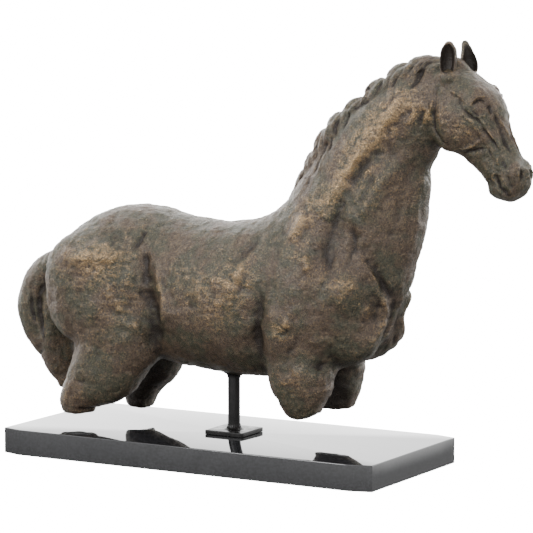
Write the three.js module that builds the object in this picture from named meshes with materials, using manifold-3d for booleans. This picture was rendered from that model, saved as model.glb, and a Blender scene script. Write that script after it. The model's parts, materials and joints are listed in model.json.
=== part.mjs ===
// Bronze horse on a steel post and a polished granite base.
// Millimetres, +Z up, +X towards the horse's nose, +Y towards its left side.
// The horse is cast in hollow bronze sections that are welded together: two trunk sections, neck,
// head, mane, tail, two ears and four limb stumps. A socket in the belly takes the top of the post.
import * as THREE from 'three';
import { mergeVertices } from 'three/addons/utils/BufferGeometryUtils.js';
import Module from 'manifold-3d';

const wasm = await Module();
wasm.setup();

// ---------------------------------------------------------------- driving dimensions
const GAP = 0.3; // clearance between neighbouring pieces
const WALL = 5; // thickness of the cast bronze skin
const SLAB = { length: 490, width: 218, thickness: 30, arris: 0.8 };
const PAD = { radius: 11, height: 2, inset: 24 };
const PLATE = { side: 50, thickness: 5, bevel: 0.7 };
const POST = { x: 9, radius: 7.2, top: 103, spigotRadius: 5, spigotTop: 128 };
const BEAD = { spread: 4.2, height: 5.5, toe: 0.9 }; // weld fillet round each end of the post
const SOCKET = { radius: 12, bottom: 103.3, top: 138, seat: 2, pocket: 20 };
const BOLT = { radius: 4, headRadius: 6.5, headHeight: 8, reach: 20 };
const WASHER = { radius: 9, thickness: 1.6 };
const LOCK_WASHER = { radius: 7, thickness: 2, slot: 1.2, overcut: 4 };
const COUNTERBORE = { radius: 13, depth: 14 };
const OVERRUN = 1; // how far a drill or a joined end passes the face it meets
const BLOCK_SIZE = 1600; // side of the blocks that stand for half spaces
const SEGMENTS = { post: 40, washer: 32, bore: 24, hexagon: 6, curve: 4 };
const HEAD_PIVOT = { x: 270, turn: THREE.MathUtils.degToRad(-10) }; // the head looks to its right
// The welded seams between the castings: a point on each plane and the way to the outer casting.
const SEAM = {
  neck: { point: [150, 0, 250], normal: [0.41, 0, 0.91] },
  head: { point: [266, 0, 420], normal: [0.985, -0.05, 0.14] },
  trunk: { point: [62, 0, 0], normal: [1, 0, 0] },
  foreLimb: { point: [0, 0, 101], normal: [0, 0, -1] },
  hindLimb: { point: [-140, 0, 110], normal: [-0.3, 0, -0.95] },
};

// ---------------------------------------------------------------- tables of the bronze forms
// A swept form is a list of stations [x, y, z, half width, front or upper reach, rear or lower reach].
// The reach is square to the spine. z is measured from the underside of the slab.
const TRUNK = [
  [-222, 0, 200, 24, 22, 36],
  [-212, 0, 200, 44, 40, 54],
  [-192, 0, 200, 64, 60, 66],
  [-155, 0, 202, 74, 82, 72],
  [-114, 0, 202, 74, 90, 80],
  [-72, 0, 197, 71, 87, 85],
  [-30, 0, 191, 74, 88, 85],
  [10, 0, 190, 76, 88, 88],
  [50, 0, 192, 75, 92, 91],
  [90, 0, 195, 72, 98, 88],
  [130, 0, 196, 70, 94, 84],
  [168, 0, 196, 64, 84, 74],
  [196, 0, 194, 50, 62, 58],
  [213, 0, 190, 24, 32, 32],
];
const NECK = [
  [112, 0, 190, 64, 70, 90],
  [140, 0, 238, 62, 80, 92],
  [168, 0, 290, 54, 78, 86],
  [190, 0, 340, 44, 67, 74],
  [210, 0, 376, 38, 57, 62],
  [236, 0, 402, 34, 50, 50],
  [262, 0, 422, 30, 44, 42],
  [280, 0, 432, 24, 34, 34],
];
// The head's stations run from the poll to the lips, in the head's own frame.
const HEAD = [
  [-4, 0, 438, 20, 24, 30],
  [14, 0, 428, 29, 34, 40],
  [34, 0, 414, 32, 41, 44],
  [54, 0, 399, 31, 41, 42],
  [70, 0, 382, 25, 33, 33],
  [84, 0, 366, 20, 27, 27],
  [96, 0, 350, 19, 25, 24],
  [106, 0, 337, 19, 22, 22],
  [113, 0, 328, 13, 13, 14],
];
const TAIL = [
  [-200, 0, 224, 22, 18, 16],
  [-226, 0, 216, 27, 22, 20],
  [-250, 0, 194, 29, 25, 26],
  [-258, 0, 162, 29, 26, 28],
  [-249, 0, 130, 25, 24, 24],
  [-238, 0, 100, 18, 15, 15],
  [-229, 0, 73, 8, 7, 7],
];
const FORE_LIMB = [
  [120, 38, 150, 32, 38, 42],
  [119, 40, 112, 31, 35, 38],
  [121, 41, 92, 26, 28, 32],
  [124, 42, 76, 20, 20, 24],
  [127, 42, 66, 13, 13, 15],
];
const HIND_LIMB = [
  [-118, 42, 168, 34, 52, 52],
  [-132, 44, 126, 33, 48, 50],
  [-148, 46, 96, 30, 38, 40],
  [-162, 47, 72, 27, 28, 32],
  [-171, 48, 56, 20, 19, 23],
];
// Muscle masses: centre, radii, and a pitch that tips the front end up.
const MASSES = [
  { at: [-148, 42, 200], radii: [66, 42, 72], pitch: 0.15 }, // haunch
  { at: [-92, 46, 148], radii: [28, 26, 40], pitch: 0.2 }, // stifle
  { at: [124, 42, 194], radii: [52, 36, 74], pitch: -0.25 }, // shoulder blade and triceps
  { at: [176, 42, 200], radii: [30, 28, 44], pitch: 0 }, // point of the shoulder
  { at: [176, 26, 158], radii: [34, 28, 30], pitch: 0.3 }, // breast
];
const EAR = { at: [21, 20, 467], radii: [7, 10, 25], lean: 0.1, cup: { scale: 0.7, forward: 5, up: 2 } };
// The mane is a row of locks down the crest of the neck: each is [x, z, half length, half height].
const LOCKS = [
  [250, 464, 20, 11],
  [228, 454, 20, 12],
  [205, 440, 20, 12],
  [184, 424, 19, 12],
  [162, 409, 19, 12],
  [144, 390, 19, 11],
  [128, 370, 18, 11],
  [115, 348, 18, 10],
  [103, 326, 17, 9],
  [91, 306, 16, 7],
];
const LOCK_HALF_WIDTH = 12;

// ---------------------------------------------------------------- solids
/** Turns a closed geometry into a solid that can be joined and cut. */
function solid(geometry) {
  const bare = new THREE.BufferGeometry();
  bare.setAttribute('position', geometry.getAttribute('position'));
  if (geometry.index) bare.setIndex(geometry.index);
  const merged = mergeVertices(bare, 1e-4);
  const corners = merged.index.array;
  const triVerts = [];
  for (let i = 0; i < corners.length; i += 3) {
    const [a, b, c] = [corners[i], corners[i + 1], corners[i + 2]];
    if (a !== b && b !== c && c !== a) triVerts.push(a, b, c);
  }
  const mesh = new wasm.Mesh({
    numProp: 3,
    vertProperties: new Float32Array(merged.getAttribute('position').array),
    triVerts: new Uint32Array(triVerts),
  });
  return new wasm.Manifold(mesh);
}

/** Turns a solid back into a geometry. */
function geometryOf(body) {
  const mesh = body.getMesh();
  const geometry = new THREE.BufferGeometry();
  geometry.setAttribute('position', new THREE.BufferAttribute(mesh.vertProperties, 3));
  geometry.setIndex(new THREE.BufferAttribute(mesh.triVerts, 1));
  return geometry;
}

const union = (bodies) => bodies.reduce((sum, body) => sum.add(body));

/**
 * Sweeps an oval section along a bent spine. grow offsets the skin outwards (or inwards when it is
 * negative), and the ends move with it, so the same table gives the skin, its core and its clearance.
 */
function sweep(stations, { grow = 0, sides = 28, rings = 20, trimStart = true, trimEnd = true } = {}) {
  const spine = new THREE.CatmullRomCurve3(stations.map(([x, y, z]) => new THREE.Vector3(x, y, z)));
  const girth = new THREE.CatmullRomCurve3(
    stations.map(([, , , width, up, down]) => new THREE.Vector3(width, up, down)),
  );
  const length = spine.getLength();
  const start = trimStart ? -grow / length : 0;
  const end = trimEnd ? 1 + grow / length : 1;
  const geometry = new THREE.CylinderGeometry(1, 1, 1, sides, rings);
  const position = geometry.getAttribute('position');
  const point = new THREE.Vector3();
  for (let i = 0; i < position.count; i += 1) {
    point.fromBufferAttribute(position, i);
    const t = THREE.MathUtils.lerp(start, end, point.y + 0.5);
    const along = spine.getTangent(THREE.MathUtils.clamp(t, 0.001, 0.999));
    const side = new THREE.Vector3(0, 1, 0).addScaledVector(along, -along.y).normalize();
    const front = new THREE.Vector3().crossVectors(along, side);
    const reach = girth.getPoint(THREE.MathUtils.clamp(t, 0, 1));
    const across = -point.x * Math.max(reach.x + grow, 1);
    const rise = point.z * Math.max((point.z > 0 ? reach.y : reach.z) + grow, 1);
    const centre = spine.getPoint(THREE.MathUtils.clamp(t, 0, 1));
    centre.addScaledVector(along, (t - THREE.MathUtils.clamp(t, 0, 1)) * length);
    centre.addScaledVector(side, across).addScaledVector(front, rise);
    position.setXYZ(i, centre.x, centre.y, centre.z);
  }
  return solid(geometry);
}

/** An oval mass with its front end tipped up by pitch. */
function mass({ at, radii, pitch }, { grow = 0, sides = 22, rings = 14 } = {}) {
  const geometry = new THREE.SphereGeometry(1, sides, rings);
  geometry.scale(radii[0] + grow, radii[1] + grow, radii[2] + grow);
  geometry.rotateY(-pitch);
  geometry.translate(...at);
  return solid(geometry);
}

/** The same list of stations on the horse's right side. */
const mirrored = (stations) => stations.map(([x, y, ...rest]) => [x, -y, ...rest]);

/** Turns a body of the head about the upright line through the poll. */
function turnHead(geometry) {
  geometry.rotateZ(HEAD_PIVOT.turn);
  geometry.translate(HEAD_PIVOT.x, 0, 0);
  return geometry;
}

/** A large block whose face passes through the point, filling the side that the normal points to. */
function halfSpace(point, normal) {
  const block = new THREE.BoxGeometry(BLOCK_SIZE, BLOCK_SIZE, BLOCK_SIZE);
  block.translate(0, 0, BLOCK_SIZE / 2);
  const up = new THREE.Vector3(0, 0, 1);
  const turn = new THREE.Quaternion().setFromUnitVectors(up, normal.clone().normalize());
  block.applyQuaternion(turn);
  block.translate(point.x, point.y, point.z);
  return solid(block);
}

/** Saws a body along a plane and leaves a narrow gap: returns [beyond the plane, before it]. */
function saw(body, [x, y, z], [nx, ny, nz]) {
  const normal = new THREE.Vector3(nx, ny, nz).normalize();
  const point = new THREE.Vector3(x, y, z);
  const beyond = body.intersect(halfSpace(point.clone().addScaledVector(normal, GAP / 2), normal));
  const before = body.subtract(halfSpace(point.clone().addScaledVector(normal, -GAP / 2), normal));
  return [beyond, before];
}

/** The biggest of the separate bodies in a solid, out of those on one side of y = 0 if side is given. */
function largest(body, side = 0) {
  const middleY = (part) => (part.boundingBox().min[1] + part.boundingBox().max[1]) / 2;
  const bodies = body.decompose().filter((part) => middleY(part) * side >= 0);
  return bodies.reduce((best, next) => (next.volume() > best.volume() ? next : best));
}

/** A round turned piece from a closed outline of [radius, height] points. */
function turned(outline, x = 0, y = 0, segments = SEGMENTS.post) {
  const profile = outline.map(([radius, height]) => new THREE.Vector2(radius, height));
  const geometry = new THREE.LatheGeometry(profile, segments);
  geometry.rotateX(Math.PI / 2);
  geometry.translate(x, y, 0);
  return solid(geometry);
}

/** A solid round bar standing on a height. */
const bar = (radius, z0, z1, x = 0, y = 0, segments = SEGMENTS.post) =>
  turned([[0, z0], [radius, z0], [radius, z1], [0, z1]], x, y, segments);

/** A ring standing on a height. */
const ring = (inner, outer, z0, z1, x = 0, y = 0, segments = SEGMENTS.post) =>
  turned([[inner, z0], [outer, z0], [outer, z1], [inner, z1], [inner, z0]], x, y, segments);

/** A block with its upright edges square and its top edges bevelled. */
function bevelledBlock(length, width, z0, z1, bevel) {
  const outline = new THREE.Shape();
  const [a, b] = [length / 2 - bevel, width / 2 - bevel];
  outline.moveTo(-a, -b).lineTo(a, -b).lineTo(a, b).lineTo(-a, b).closePath();
  const geometry = new THREE.ExtrudeGeometry(outline, {
    depth: z1 - z0 - 2 * bevel,
    bevelThickness: bevel,
    bevelSize: bevel,
    bevelSegments: 1,
  });
  geometry.translate(0, 0, z0 + bevel);
  return solid(geometry);
}

// ---------------------------------------------------------------- the bronze skin
const SKIN_DETAIL = { sides: 20, rings: 18, massSides: 14, massRings: 9 };
const CORE_DETAIL = { sides: 10, rings: 9, massSides: 8, massRings: 5 };
const TAIL_DETAIL = { sides: 16, rings: 13 };
const TAIL_CORE_DETAIL = { sides: 8, rings: 8 };
const LOCK_DETAIL = { sides: 8, rings: 6 };
const EAR_DETAIL = { sides: 12, rings: 8 };
const SHORT_SWEEP = 0.6; // share of the trunk's rings that the neck and the head get
const LIMB_SIDES = 0.7; // share of the trunk's sides that a limb gets
const LIMB_RINGS = 6;

/** The head without ears, turned on the neck. */
function headForm(grow, detail) {
  const head = sweep(HEAD, { grow, sides: detail.sides, rings: Math.round(detail.rings * SHORT_SWEEP) });
  return solid(turnHead(geometryOf(head)));
}

/** The whole horse without tail, mane and ears, with its skin offset by grow. */
function horseForm(grow, detail) {
  const parts = [
    sweep(TRUNK, { grow, sides: detail.sides, rings: detail.rings }),
    sweep(NECK, { grow, sides: detail.sides, rings: Math.round(detail.rings * SHORT_SWEEP) }),
    headForm(grow, detail),
  ];
  for (const stations of [FORE_LIMB, HIND_LIMB]) {
    for (const side of [stations, mirrored(stations)]) {
      parts.push(sweep(side, { grow, sides: Math.round(detail.sides * LIMB_SIDES), rings: LIMB_RINGS }));
    }
  }
  for (const form of MASSES) {
    const [x, y, z] = form.at;
    for (const at of [[x, y, z], [x, -y, z]]) {
      parts.push(mass({ ...form, at }, { grow, sides: detail.massSides, rings: detail.massRings }));
    }
  }
  return union(parts);
}

/** The mane, a row of overlapping locks, before it is fitted to the neck. */
function maneForm(grow) {
  const locks = LOCKS.map(([x, z, halfLength, halfHeight], i) => {
    const [x0, z0] = LOCKS[Math.max(i - 1, 0)];
    const [x1, z1] = LOCKS[Math.min(i + 1, LOCKS.length - 1)];
    const pitch = Math.atan2(z0 - z1, x0 - x1);
    const radii = [halfLength, LOCK_HALF_WIDTH, halfHeight];
    return mass({ at: [x, 0, z], radii, pitch }, { grow, ...LOCK_DETAIL });
  });
  return union(locks);
}

/** One ear: a leaf with a cup in its front, on the side of y that side gives. */
function earForm(side) {
  const [x, y, z] = EAR.at;
  const [depth, width, height] = EAR.radii;
  const leaf = new THREE.SphereGeometry(1, EAR_DETAIL.sides, EAR_DETAIL.rings);
  leaf.scale(depth, width, height);
  const cup = leaf.clone();
  cup.scale(EAR.cup.scale, EAR.cup.scale, EAR.cup.scale);
  cup.translate(EAR.cup.forward, 0, EAR.cup.up);
  for (const geometry of [leaf, cup]) {
    geometry.rotateX(-side * EAR.lean);
    geometry.translate(x, side * y, z);
    turnHead(geometry);
  }
  return solid(leaf).subtract(solid(cup));
}

const skin = horseForm(0, SKIN_DETAIL);
const core = horseForm(-WALL, CORE_DETAIL);
const clearance = horseForm(GAP, SKIN_DETAIL);

/** Saws the hollow skin into the sections that are cast and then welded. */
function sectionCastings() {
  const [holeBottom, holeTop] = [SOCKET.bottom - SOCKET.pocket, SOCKET.bottom + SOCKET.pocket];
  const socketHole = bar(SOCKET.radius + GAP, holeBottom, holeTop, POST.x);
  const shell = skin.subtract(core).subtract(socketHole);
  const [upper, trunk] = saw(shell, SEAM.neck.point, SEAM.neck.normal);
  const [head, neck] = saw(largest(upper), SEAM.head.point, SEAM.head.normal);
  const [front, rear] = saw(largest(trunk), SEAM.trunk.point, SEAM.trunk.normal);
  const [foreLimbs, frontTrunk] = saw(front, SEAM.foreLimb.point, SEAM.foreLimb.normal);
  const [hindLimbs, rearTrunk] = saw(rear, SEAM.hindLimb.point, SEAM.hindLimb.normal);
  return {
    rear_trunk_casting: largest(rearTrunk),
    front_trunk_casting: largest(frontTrunk),
    neck_casting: largest(neck),
    head_casting: largest(head),
    fore_limb_left: largest(foreLimbs, 1),
    fore_limb_right: largest(foreLimbs, -1),
    hind_limb_left: largest(hindLimbs, 1),
    hind_limb_right: largest(hindLimbs, -1),
  };
}

/** The castings that are fitted onto the skin: mane, tail and ears. */
function fittedCastings() {
  const tail = sweep(TAIL, TAIL_DETAIL);
  const tailCore = sweep(TAIL, { grow: -WALL, ...TAIL_CORE_DETAIL, trimStart: false });
  const maneClearance = maneForm(GAP);
  const ear = (side) => largest(earForm(side).subtract(clearance).subtract(maneClearance));
  return {
    mane_casting: largest(maneForm(0).subtract(clearance)),
    tail_casting: largest(tail.subtract(tailCore).subtract(clearance)),
    ear_left: ear(1),
    ear_right: ear(-1),
  };
}

// ---------------------------------------------------------------- the mount
const SLAB_TOP = SLAB.thickness;
const PLATE_BOTTOM = SLAB_TOP + GAP;
const PLATE_TOP = PLATE_BOTTOM + PLATE.thickness;
const POST_BOTTOM = PLATE_TOP + GAP;
const UPPER_BEAD_TOP = SOCKET.bottom - SOCKET.seat - GAP;
const BOLT_HEAD_TOP = COUNTERBORE.depth - WASHER.thickness - LOCK_WASHER.thickness - 3 * GAP;

/** The steel post with the spigot at its top and the tapped hole in its foot. */
function supportPost() {
  const body = bar(POST.radius, POST_BOTTOM, POST.top, POST.x);
  const spigot = bar(POST.spigotRadius, POST.top - OVERRUN, POST.spigotTop, POST.x);
  const holeTop = POST_BOTTOM + BOLT.reach + 2 * OVERRUN;
  const tappedHole = bar(BOLT.radius + GAP, POST_BOTTOM - OVERRUN, holeTop, POST.x, 0, SEGMENTS.bore);
  return body.add(spigot).subtract(tappedHole);
}

/** The weld fillet round one end of the post: wide at the height wideZ, thin at the height thinZ. */
function weldBead(wideZ, thinZ) {
  const inner = POST.radius + GAP;
  const outer = inner + BEAD.spread;
  const curve = Array.from({ length: SEGMENTS.curve + 1 }, (_, i) => {
    const turn = (i / SEGMENTS.curve) * (Math.PI / 2);
    return [outer - BEAD.spread * BEAD.toe * Math.sin(turn), thinZ + (wideZ - thinZ) * Math.cos(turn)];
  });
  const outline = [[inner, wideZ], ...curve, [inner, thinZ], [inner, wideZ]];
  return turned(wideZ < thinZ ? outline : outline.reverse(), POST.x, 0, SEGMENTS.bore);
}

/** The tapped socket that is welded into the belly. */
function bellySocket() {
  const bore = bar(POST.spigotRadius + GAP, SOCKET.bottom - OVERRUN, POST.spigotTop + 2 * OVERRUN, POST.x);
  return bar(SOCKET.radius, SOCKET.bottom, SOCKET.top, POST.x).subtract(bore);
}

/** The square plate under the post. */
function mountingPlate() {
  const block = bevelledBlock(PLATE.side, PLATE.side, PLATE_BOTTOM, PLATE_TOP, PLATE.bevel);
  const hole = bar(BOLT.radius + GAP, PLATE_BOTTOM - OVERRUN, PLATE_TOP + OVERRUN, 0, 0, SEGMENTS.bore);
  return block.subtract(hole).translate([POST.x, 0, 0]);
}

/** The granite slab, drilled through and counterbored from below for the bolt. */
function graniteBase() {
  const block = bevelledBlock(SLAB.length, SLAB.width, 0, SLAB_TOP, SLAB.arris);
  const hole = bar(BOLT.radius + 2 * GAP, -OVERRUN, SLAB_TOP + OVERRUN, POST.x, 0, SEGMENTS.bore);
  const counterbore = bar(COUNTERBORE.radius, -OVERRUN, COUNTERBORE.depth, POST.x);
  return block.subtract(hole).subtract(counterbore);
}

/** The hexagon bolt that comes up through the slab and the plate into the post. */
function baseBolt() {
  const headBottom = BOLT_HEAD_TOP - BOLT.headHeight;
  const head = bar(BOLT.headRadius, headBottom, BOLT_HEAD_TOP, POST.x, 0, SEGMENTS.hexagon);
  const shankTop = POST_BOTTOM + BOLT.reach;
  const shank = bar(BOLT.radius, BOLT_HEAD_TOP - OVERRUN, shankTop, POST.x, 0, SEGMENTS.bore);
  return head.add(shank);
}


/** A washer round the shank of the bolt. */
const washer = ({ radius, thickness }, z0) =>
  ring(BOLT.radius + GAP, radius, z0, z0 + thickness, POST.x, 0, SEGMENTS.washer);

/** The spring lock washer, split across one side. */
function lockWasher() {
  const z0 = BOLT_HEAD_TOP + GAP;
  const body = washer(LOCK_WASHER, z0);
  const reach = LOCK_WASHER.radius + LOCK_WASHER.overcut;
  const slot = new THREE.BoxGeometry(reach, LOCK_WASHER.slot, 3 * LOCK_WASHER.thickness);
  slot.translate(POST.x + LOCK_WASHER.radius, 0, z0);
  return body.subtract(solid(slot));
}

/** The four pads under the corners of the slab. */
function basePads() {
  const [padX, padY] = [SLAB.length / 2 - PAD.inset, SLAB.width / 2 - PAD.inset];
  const corners = [[-padX, -padY], [padX, -padY], [padX, padY], [-padX, padY]];
  const pad = ([x, y]) => bar(PAD.radius, -PAD.height, -GAP, x, y, SEGMENTS.washer);
  return Object.fromEntries(corners.map((corner, i) => [`base_pad_${i + 1}`, pad(corner)]));
}

// ---------------------------------------------------------------- the assembly
const FINISHES = {
  bronze: { color: 0x5f594a, roughness: 0.42, metalness: 0.75 },
  blackSteel: { color: 0x26262a, roughness: 0.5, metalness: 0.6 },
  brightSteel: { color: 0xa8aaad, roughness: 0.35, metalness: 1 },
  granite: { color: 0x17181a, roughness: 0.08, metalness: 0 },
  felt: { color: 0x222222, roughness: 0.95, metalness: 0 },
};

const pieces = {
  bronze: { ...sectionCastings(), ...fittedCastings() },
  blackSteel: {
    support_post: supportPost(),
    lower_weld_bead: weldBead(POST_BOTTOM, POST_BOTTOM + BEAD.height),
    upper_weld_bead: weldBead(UPPER_BEAD_TOP, UPPER_BEAD_TOP - BEAD.height),
    mounting_plate: mountingPlate(),
  },
  brightSteel: {
    belly_socket: bellySocket(),
    base_bolt: baseBolt(),
    base_washer: washer(WASHER, BOLT_HEAD_TOP + LOCK_WASHER.thickness + 2 * GAP),
    lock_washer: lockWasher(),
  },
  granite: { granite_base: graniteBase() },
  felt: basePads(),
};

const statue = new THREE.Group();
for (const [finish, bodies] of Object.entries(pieces)) {
  for (const [name, body] of Object.entries(bodies)) {
    const mesh = new THREE.Mesh(geometryOf(body), new THREE.MeshStandardMaterial(FINISHES[finish]));
    mesh.name = name;
    statue.add(mesh);
  }
}
// The origin is on the floor, under the middle of the whole statue.
const extent = new THREE.Box3().setFromObject(statue);
statue.position.set(-(extent.min.x + extent.max.x) / 2, 0, PAD.height);

export default statue;
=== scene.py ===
"""Bronze horse on a steel post and a polished granite base.

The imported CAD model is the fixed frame. The bronze is sculpted here in numbers: forms are joined on a
grid, the skin is worked with brushes, and the result is cut along the casting seams into the same
pieces as the CAD model. The mount and the slab keep their CAD solids or get finer copies of them.
"""

import json

import bmesh
import bpy
import numpy as np
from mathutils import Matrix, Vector
from mathutils.geometry import tessellate_polygon


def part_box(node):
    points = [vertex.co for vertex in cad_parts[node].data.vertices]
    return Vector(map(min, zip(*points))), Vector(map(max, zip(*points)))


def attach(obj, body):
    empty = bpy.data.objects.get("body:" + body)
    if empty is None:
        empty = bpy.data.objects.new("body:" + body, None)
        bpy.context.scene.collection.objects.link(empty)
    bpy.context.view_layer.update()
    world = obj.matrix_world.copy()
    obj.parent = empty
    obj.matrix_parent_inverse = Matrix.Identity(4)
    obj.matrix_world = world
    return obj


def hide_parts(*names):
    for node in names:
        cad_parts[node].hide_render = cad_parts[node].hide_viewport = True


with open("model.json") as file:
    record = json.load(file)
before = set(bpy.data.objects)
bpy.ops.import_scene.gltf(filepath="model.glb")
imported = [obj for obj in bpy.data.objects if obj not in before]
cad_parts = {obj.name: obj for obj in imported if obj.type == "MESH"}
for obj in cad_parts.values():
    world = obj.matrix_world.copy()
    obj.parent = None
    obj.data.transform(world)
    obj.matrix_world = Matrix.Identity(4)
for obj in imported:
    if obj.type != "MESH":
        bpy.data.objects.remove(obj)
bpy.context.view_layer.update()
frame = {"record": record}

MM = 0.001
SLAB_LOW, SLAB_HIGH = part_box("granite_base")
# where the sculpting frame's origin lies: under the middle of the slab, on its underside
ORIGIN = np.array([(SLAB_LOW[0] + SLAB_HIGH[0]) / 2, (SLAB_LOW[1] + SLAB_HIGH[1]) / 2, SLAB_LOW[2]])


# ---------------------------------------------------------------- sculpting in numbers
# All of the bronze is modelled in millimetres, in a frame centred on the slab: x towards the nose,
# y towards the horse's left, z up from the slab's underside.


def catmull_rom(rows, t):
    """Values of a smooth curve through the rows, at parameters t from 0 to 1."""
    rows = np.asarray(rows, float)
    last = len(rows) - 1
    padded = np.vstack([2 * rows[0] - rows[1], rows, 2 * rows[-1] - rows[-2]])
    u = np.clip(np.asarray(t, float), 0, 1) * last
    i = np.minimum(u.astype(int), last - 1)
    f = (u - i)[..., None]
    a, b, c, d = (padded[i + k] for k in range(4))
    return 0.5 * (2 * b + (c - a) * f + (2 * a - 5 * b + 4 * c - d) * f**2 + (3 * b - 3 * c + d - a) * f**3)


def soft_max(a, b, soft):
    """The larger of two values, rounded off where they differ by less than soft."""
    h = np.clip(0.5 - 0.5 * (a - b) / soft, 0, 1)
    return a + (b - a) * h + soft * h * (1 - h)


def soft_min(a, b, soft):
    return -soft_max(-a, -b, soft)


def ease(f):
    return f * f * (3 - 2 * f)


SWEEP_SAMPLES = 64  # places along a sweep's spine
CORD_SAMPLES = 10  # pieces that a cord's curve has between two of its points
FAR = 60.0  # the value of empty clay, in millimetres from any form
MARGIN = 3  # how far past a form's bounds and its soft edge the clay is changed
FILLED = -0.05  # the value of a grid point that is filled to close a gap
CORNERS = list(np.ndindex(2, 2, 2))  # the corners of a cell of the grid


class Sweep:
    """An oval section swept along a spine that is bent only in the x-z plane."""

    def __init__(self, stations, power=2.2, end_round=6.0):
        t = np.linspace(0, 1, SWEEP_SAMPLES)
        self.end_round = end_round
        rows = catmull_rom(stations, t)
        self.x, self.y, self.z, self.half, self.up, self.down = rows.T
        step = np.gradient(np.stack([self.x, self.z], 1), axis=0)
        self.along = step / np.linalg.norm(step, axis=1)[:, None]
        self.power = power
        reach = max(self.half.max(), self.up.max(), self.down.max())
        low = [self.x.min() - reach, self.y.min() - self.half.max(), self.z.min() - reach]
        high = [self.x.max() + reach, self.y.max() + self.half.max(), self.z.max() + reach]
        self.bounds = (np.array(low), np.array(high))

    def distance(self, x, y, z):
        x, z = np.broadcast_arrays(x, z)
        best = np.full(x.shape, 1e12, np.float32)
        index = np.zeros(x.shape, np.int32)
        for k in range(SWEEP_SAMPLES):
            d2 = (x - self.x[k]) ** 2 + (z - self.z[k]) ** 2
            nearer = d2 < best
            best[nearer] = d2[nearer]
            index[nearer] = k
        dx, dz = x - self.x[index], z - self.z[index]
        ax, az = self.along[index, 0], self.along[index, 1]
        ahead = dx * ax + dz * az
        # the point's place along the spine in samples, and how far it lies past either end
        gap = np.hypot(np.gradient(self.x), np.gradient(self.z))[index]
        u = index + ahead / gap
        last = SWEEP_SAMPLES - 1
        past = np.maximum(-u, u - last) * gap
        u = np.clip(u, 0, last)
        i = np.minimum(u.astype(int), last - 1)
        f = u - i

        def between(values):
            return values[i] * (1 - f) + values[i + 1] * f

        rise = dz * ax - dx * az
        up, down, half, middle = (between(v) for v in (self.up, self.down, self.half, self.y))
        reach = np.where(rise > 0, up, down)
        across = np.abs(y - middle).astype(np.float32)
        rise = np.abs(rise).astype(np.float32)
        p = self.power
        q = ((across / half) ** p + (rise / reach) ** p) ** (1 / p)
        radius = np.sqrt(across**2 + rise**2)
        edge = radius / np.maximum(q, 1e-3)
        d = np.where(q > 1e-3, radius - edge, -np.minimum(half, reach))
        return soft_max(d, past, self.end_round)


class Mass:
    """An oval mass, turned nose up by its pitch in radians."""

    def __init__(self, at, radii, pitch=0.0, power=2.0):
        self.at, self.radii, self.power = np.array(at, float), np.array(radii, float), power
        c, s = np.cos(pitch), np.sin(pitch)
        self.axes = np.array([[c, 0, -s], [0, 1, 0], [s, 0, c]])
        reach = np.sqrt(((self.axes * self.radii) ** 2).sum(1))
        self.bounds = (self.at - reach, self.at + reach)

    def distance(self, x, y, z):
        dx, dy, dz = x - self.at[0], y - self.at[1], z - self.at[2]
        total = 0
        for k in range(3):
            a = self.axes[:, k]
            total = total + np.abs((dx * a[0] + dy * a[1] + dz * a[2]) / self.radii[k]) ** self.power
        q = total ** (1 / self.power)
        radius = np.sqrt(dx**2 + dy**2 + dz**2)
        return np.where(q > 1e-3, radius - radius / np.maximum(q, 1e-3), -self.radii.min())


class Cord:
    """A round bar through a list of points, each [x, y, z, radius]."""

    def __init__(self, points):
        points = np.asarray(points, float)
        if len(points) > 2:
            points = catmull_rom(points, np.linspace(0, 1, CORD_SAMPLES * (len(points) - 1) + 1))
        self.points = points
        r = points[:, 3].max()
        self.bounds = (points[:, :3].min(0) - r, points[:, :3].max(0) + r)

    def distance(self, x, y, z):
        best = None
        for a, b in zip(self.points[:-1], self.points[1:]):
            ab = b[:3] - a[:3]
            length2 = max((ab**2).sum(), 1e-9)
            t = ((x - a[0]) * ab[0] + (y - a[1]) * ab[1] + (z - a[2]) * ab[2]) / length2
            t = np.clip(t, 0, 1)
            d2 = (x - a[0] - t * ab[0]) ** 2 + (y - a[1] - t * ab[1]) ** 2 + (z - a[2] - t * ab[2]) ** 2
            d = np.sqrt(d2) - (a[3] + t * (b[3] - a[3]))
            best = d if best is None else np.minimum(best, d)
        return best


class Mirrored:
    """A form's mirror image on the other side of the horse."""

    def __init__(self, form):
        self.form = form
        low, high = form.bounds
        self.bounds = (np.array([low[0], -high[1], low[2]]), np.array([high[0], -low[1], high[2]]))

    def distance(self, x, y, z):
        return self.form.distance(x, -y, z)


class Turned:
    """A form given in the head's own frame, turned with the head."""

    def __init__(self, form):
        self.form = form
        corners = head_to_world(np.stack(np.meshgrid(*zip(*form.bounds)), -1).reshape(-1, 3))
        self.bounds = (corners.min(0), corners.max(0))

    def distance(self, x, y, z):
        c, s = np.cos(HEAD_TURN), np.sin(HEAD_TURN)
        dx = x - HEAD_PIVOT_X
        return self.form.distance(c * dx + s * y, -s * dx + c * y, z)


def head_to_world(points):
    """Points of the head's own frame, turned on the neck and placed at the poll."""
    c, s = np.cos(HEAD_TURN), np.sin(HEAD_TURN)
    points = np.asarray(points, float)
    x, y, z = points[..., 0], points[..., 1], points[..., 2]
    return np.stack([HEAD_PIVOT_X + c * x - s * y, s * x + c * y, z], -1)


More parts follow.
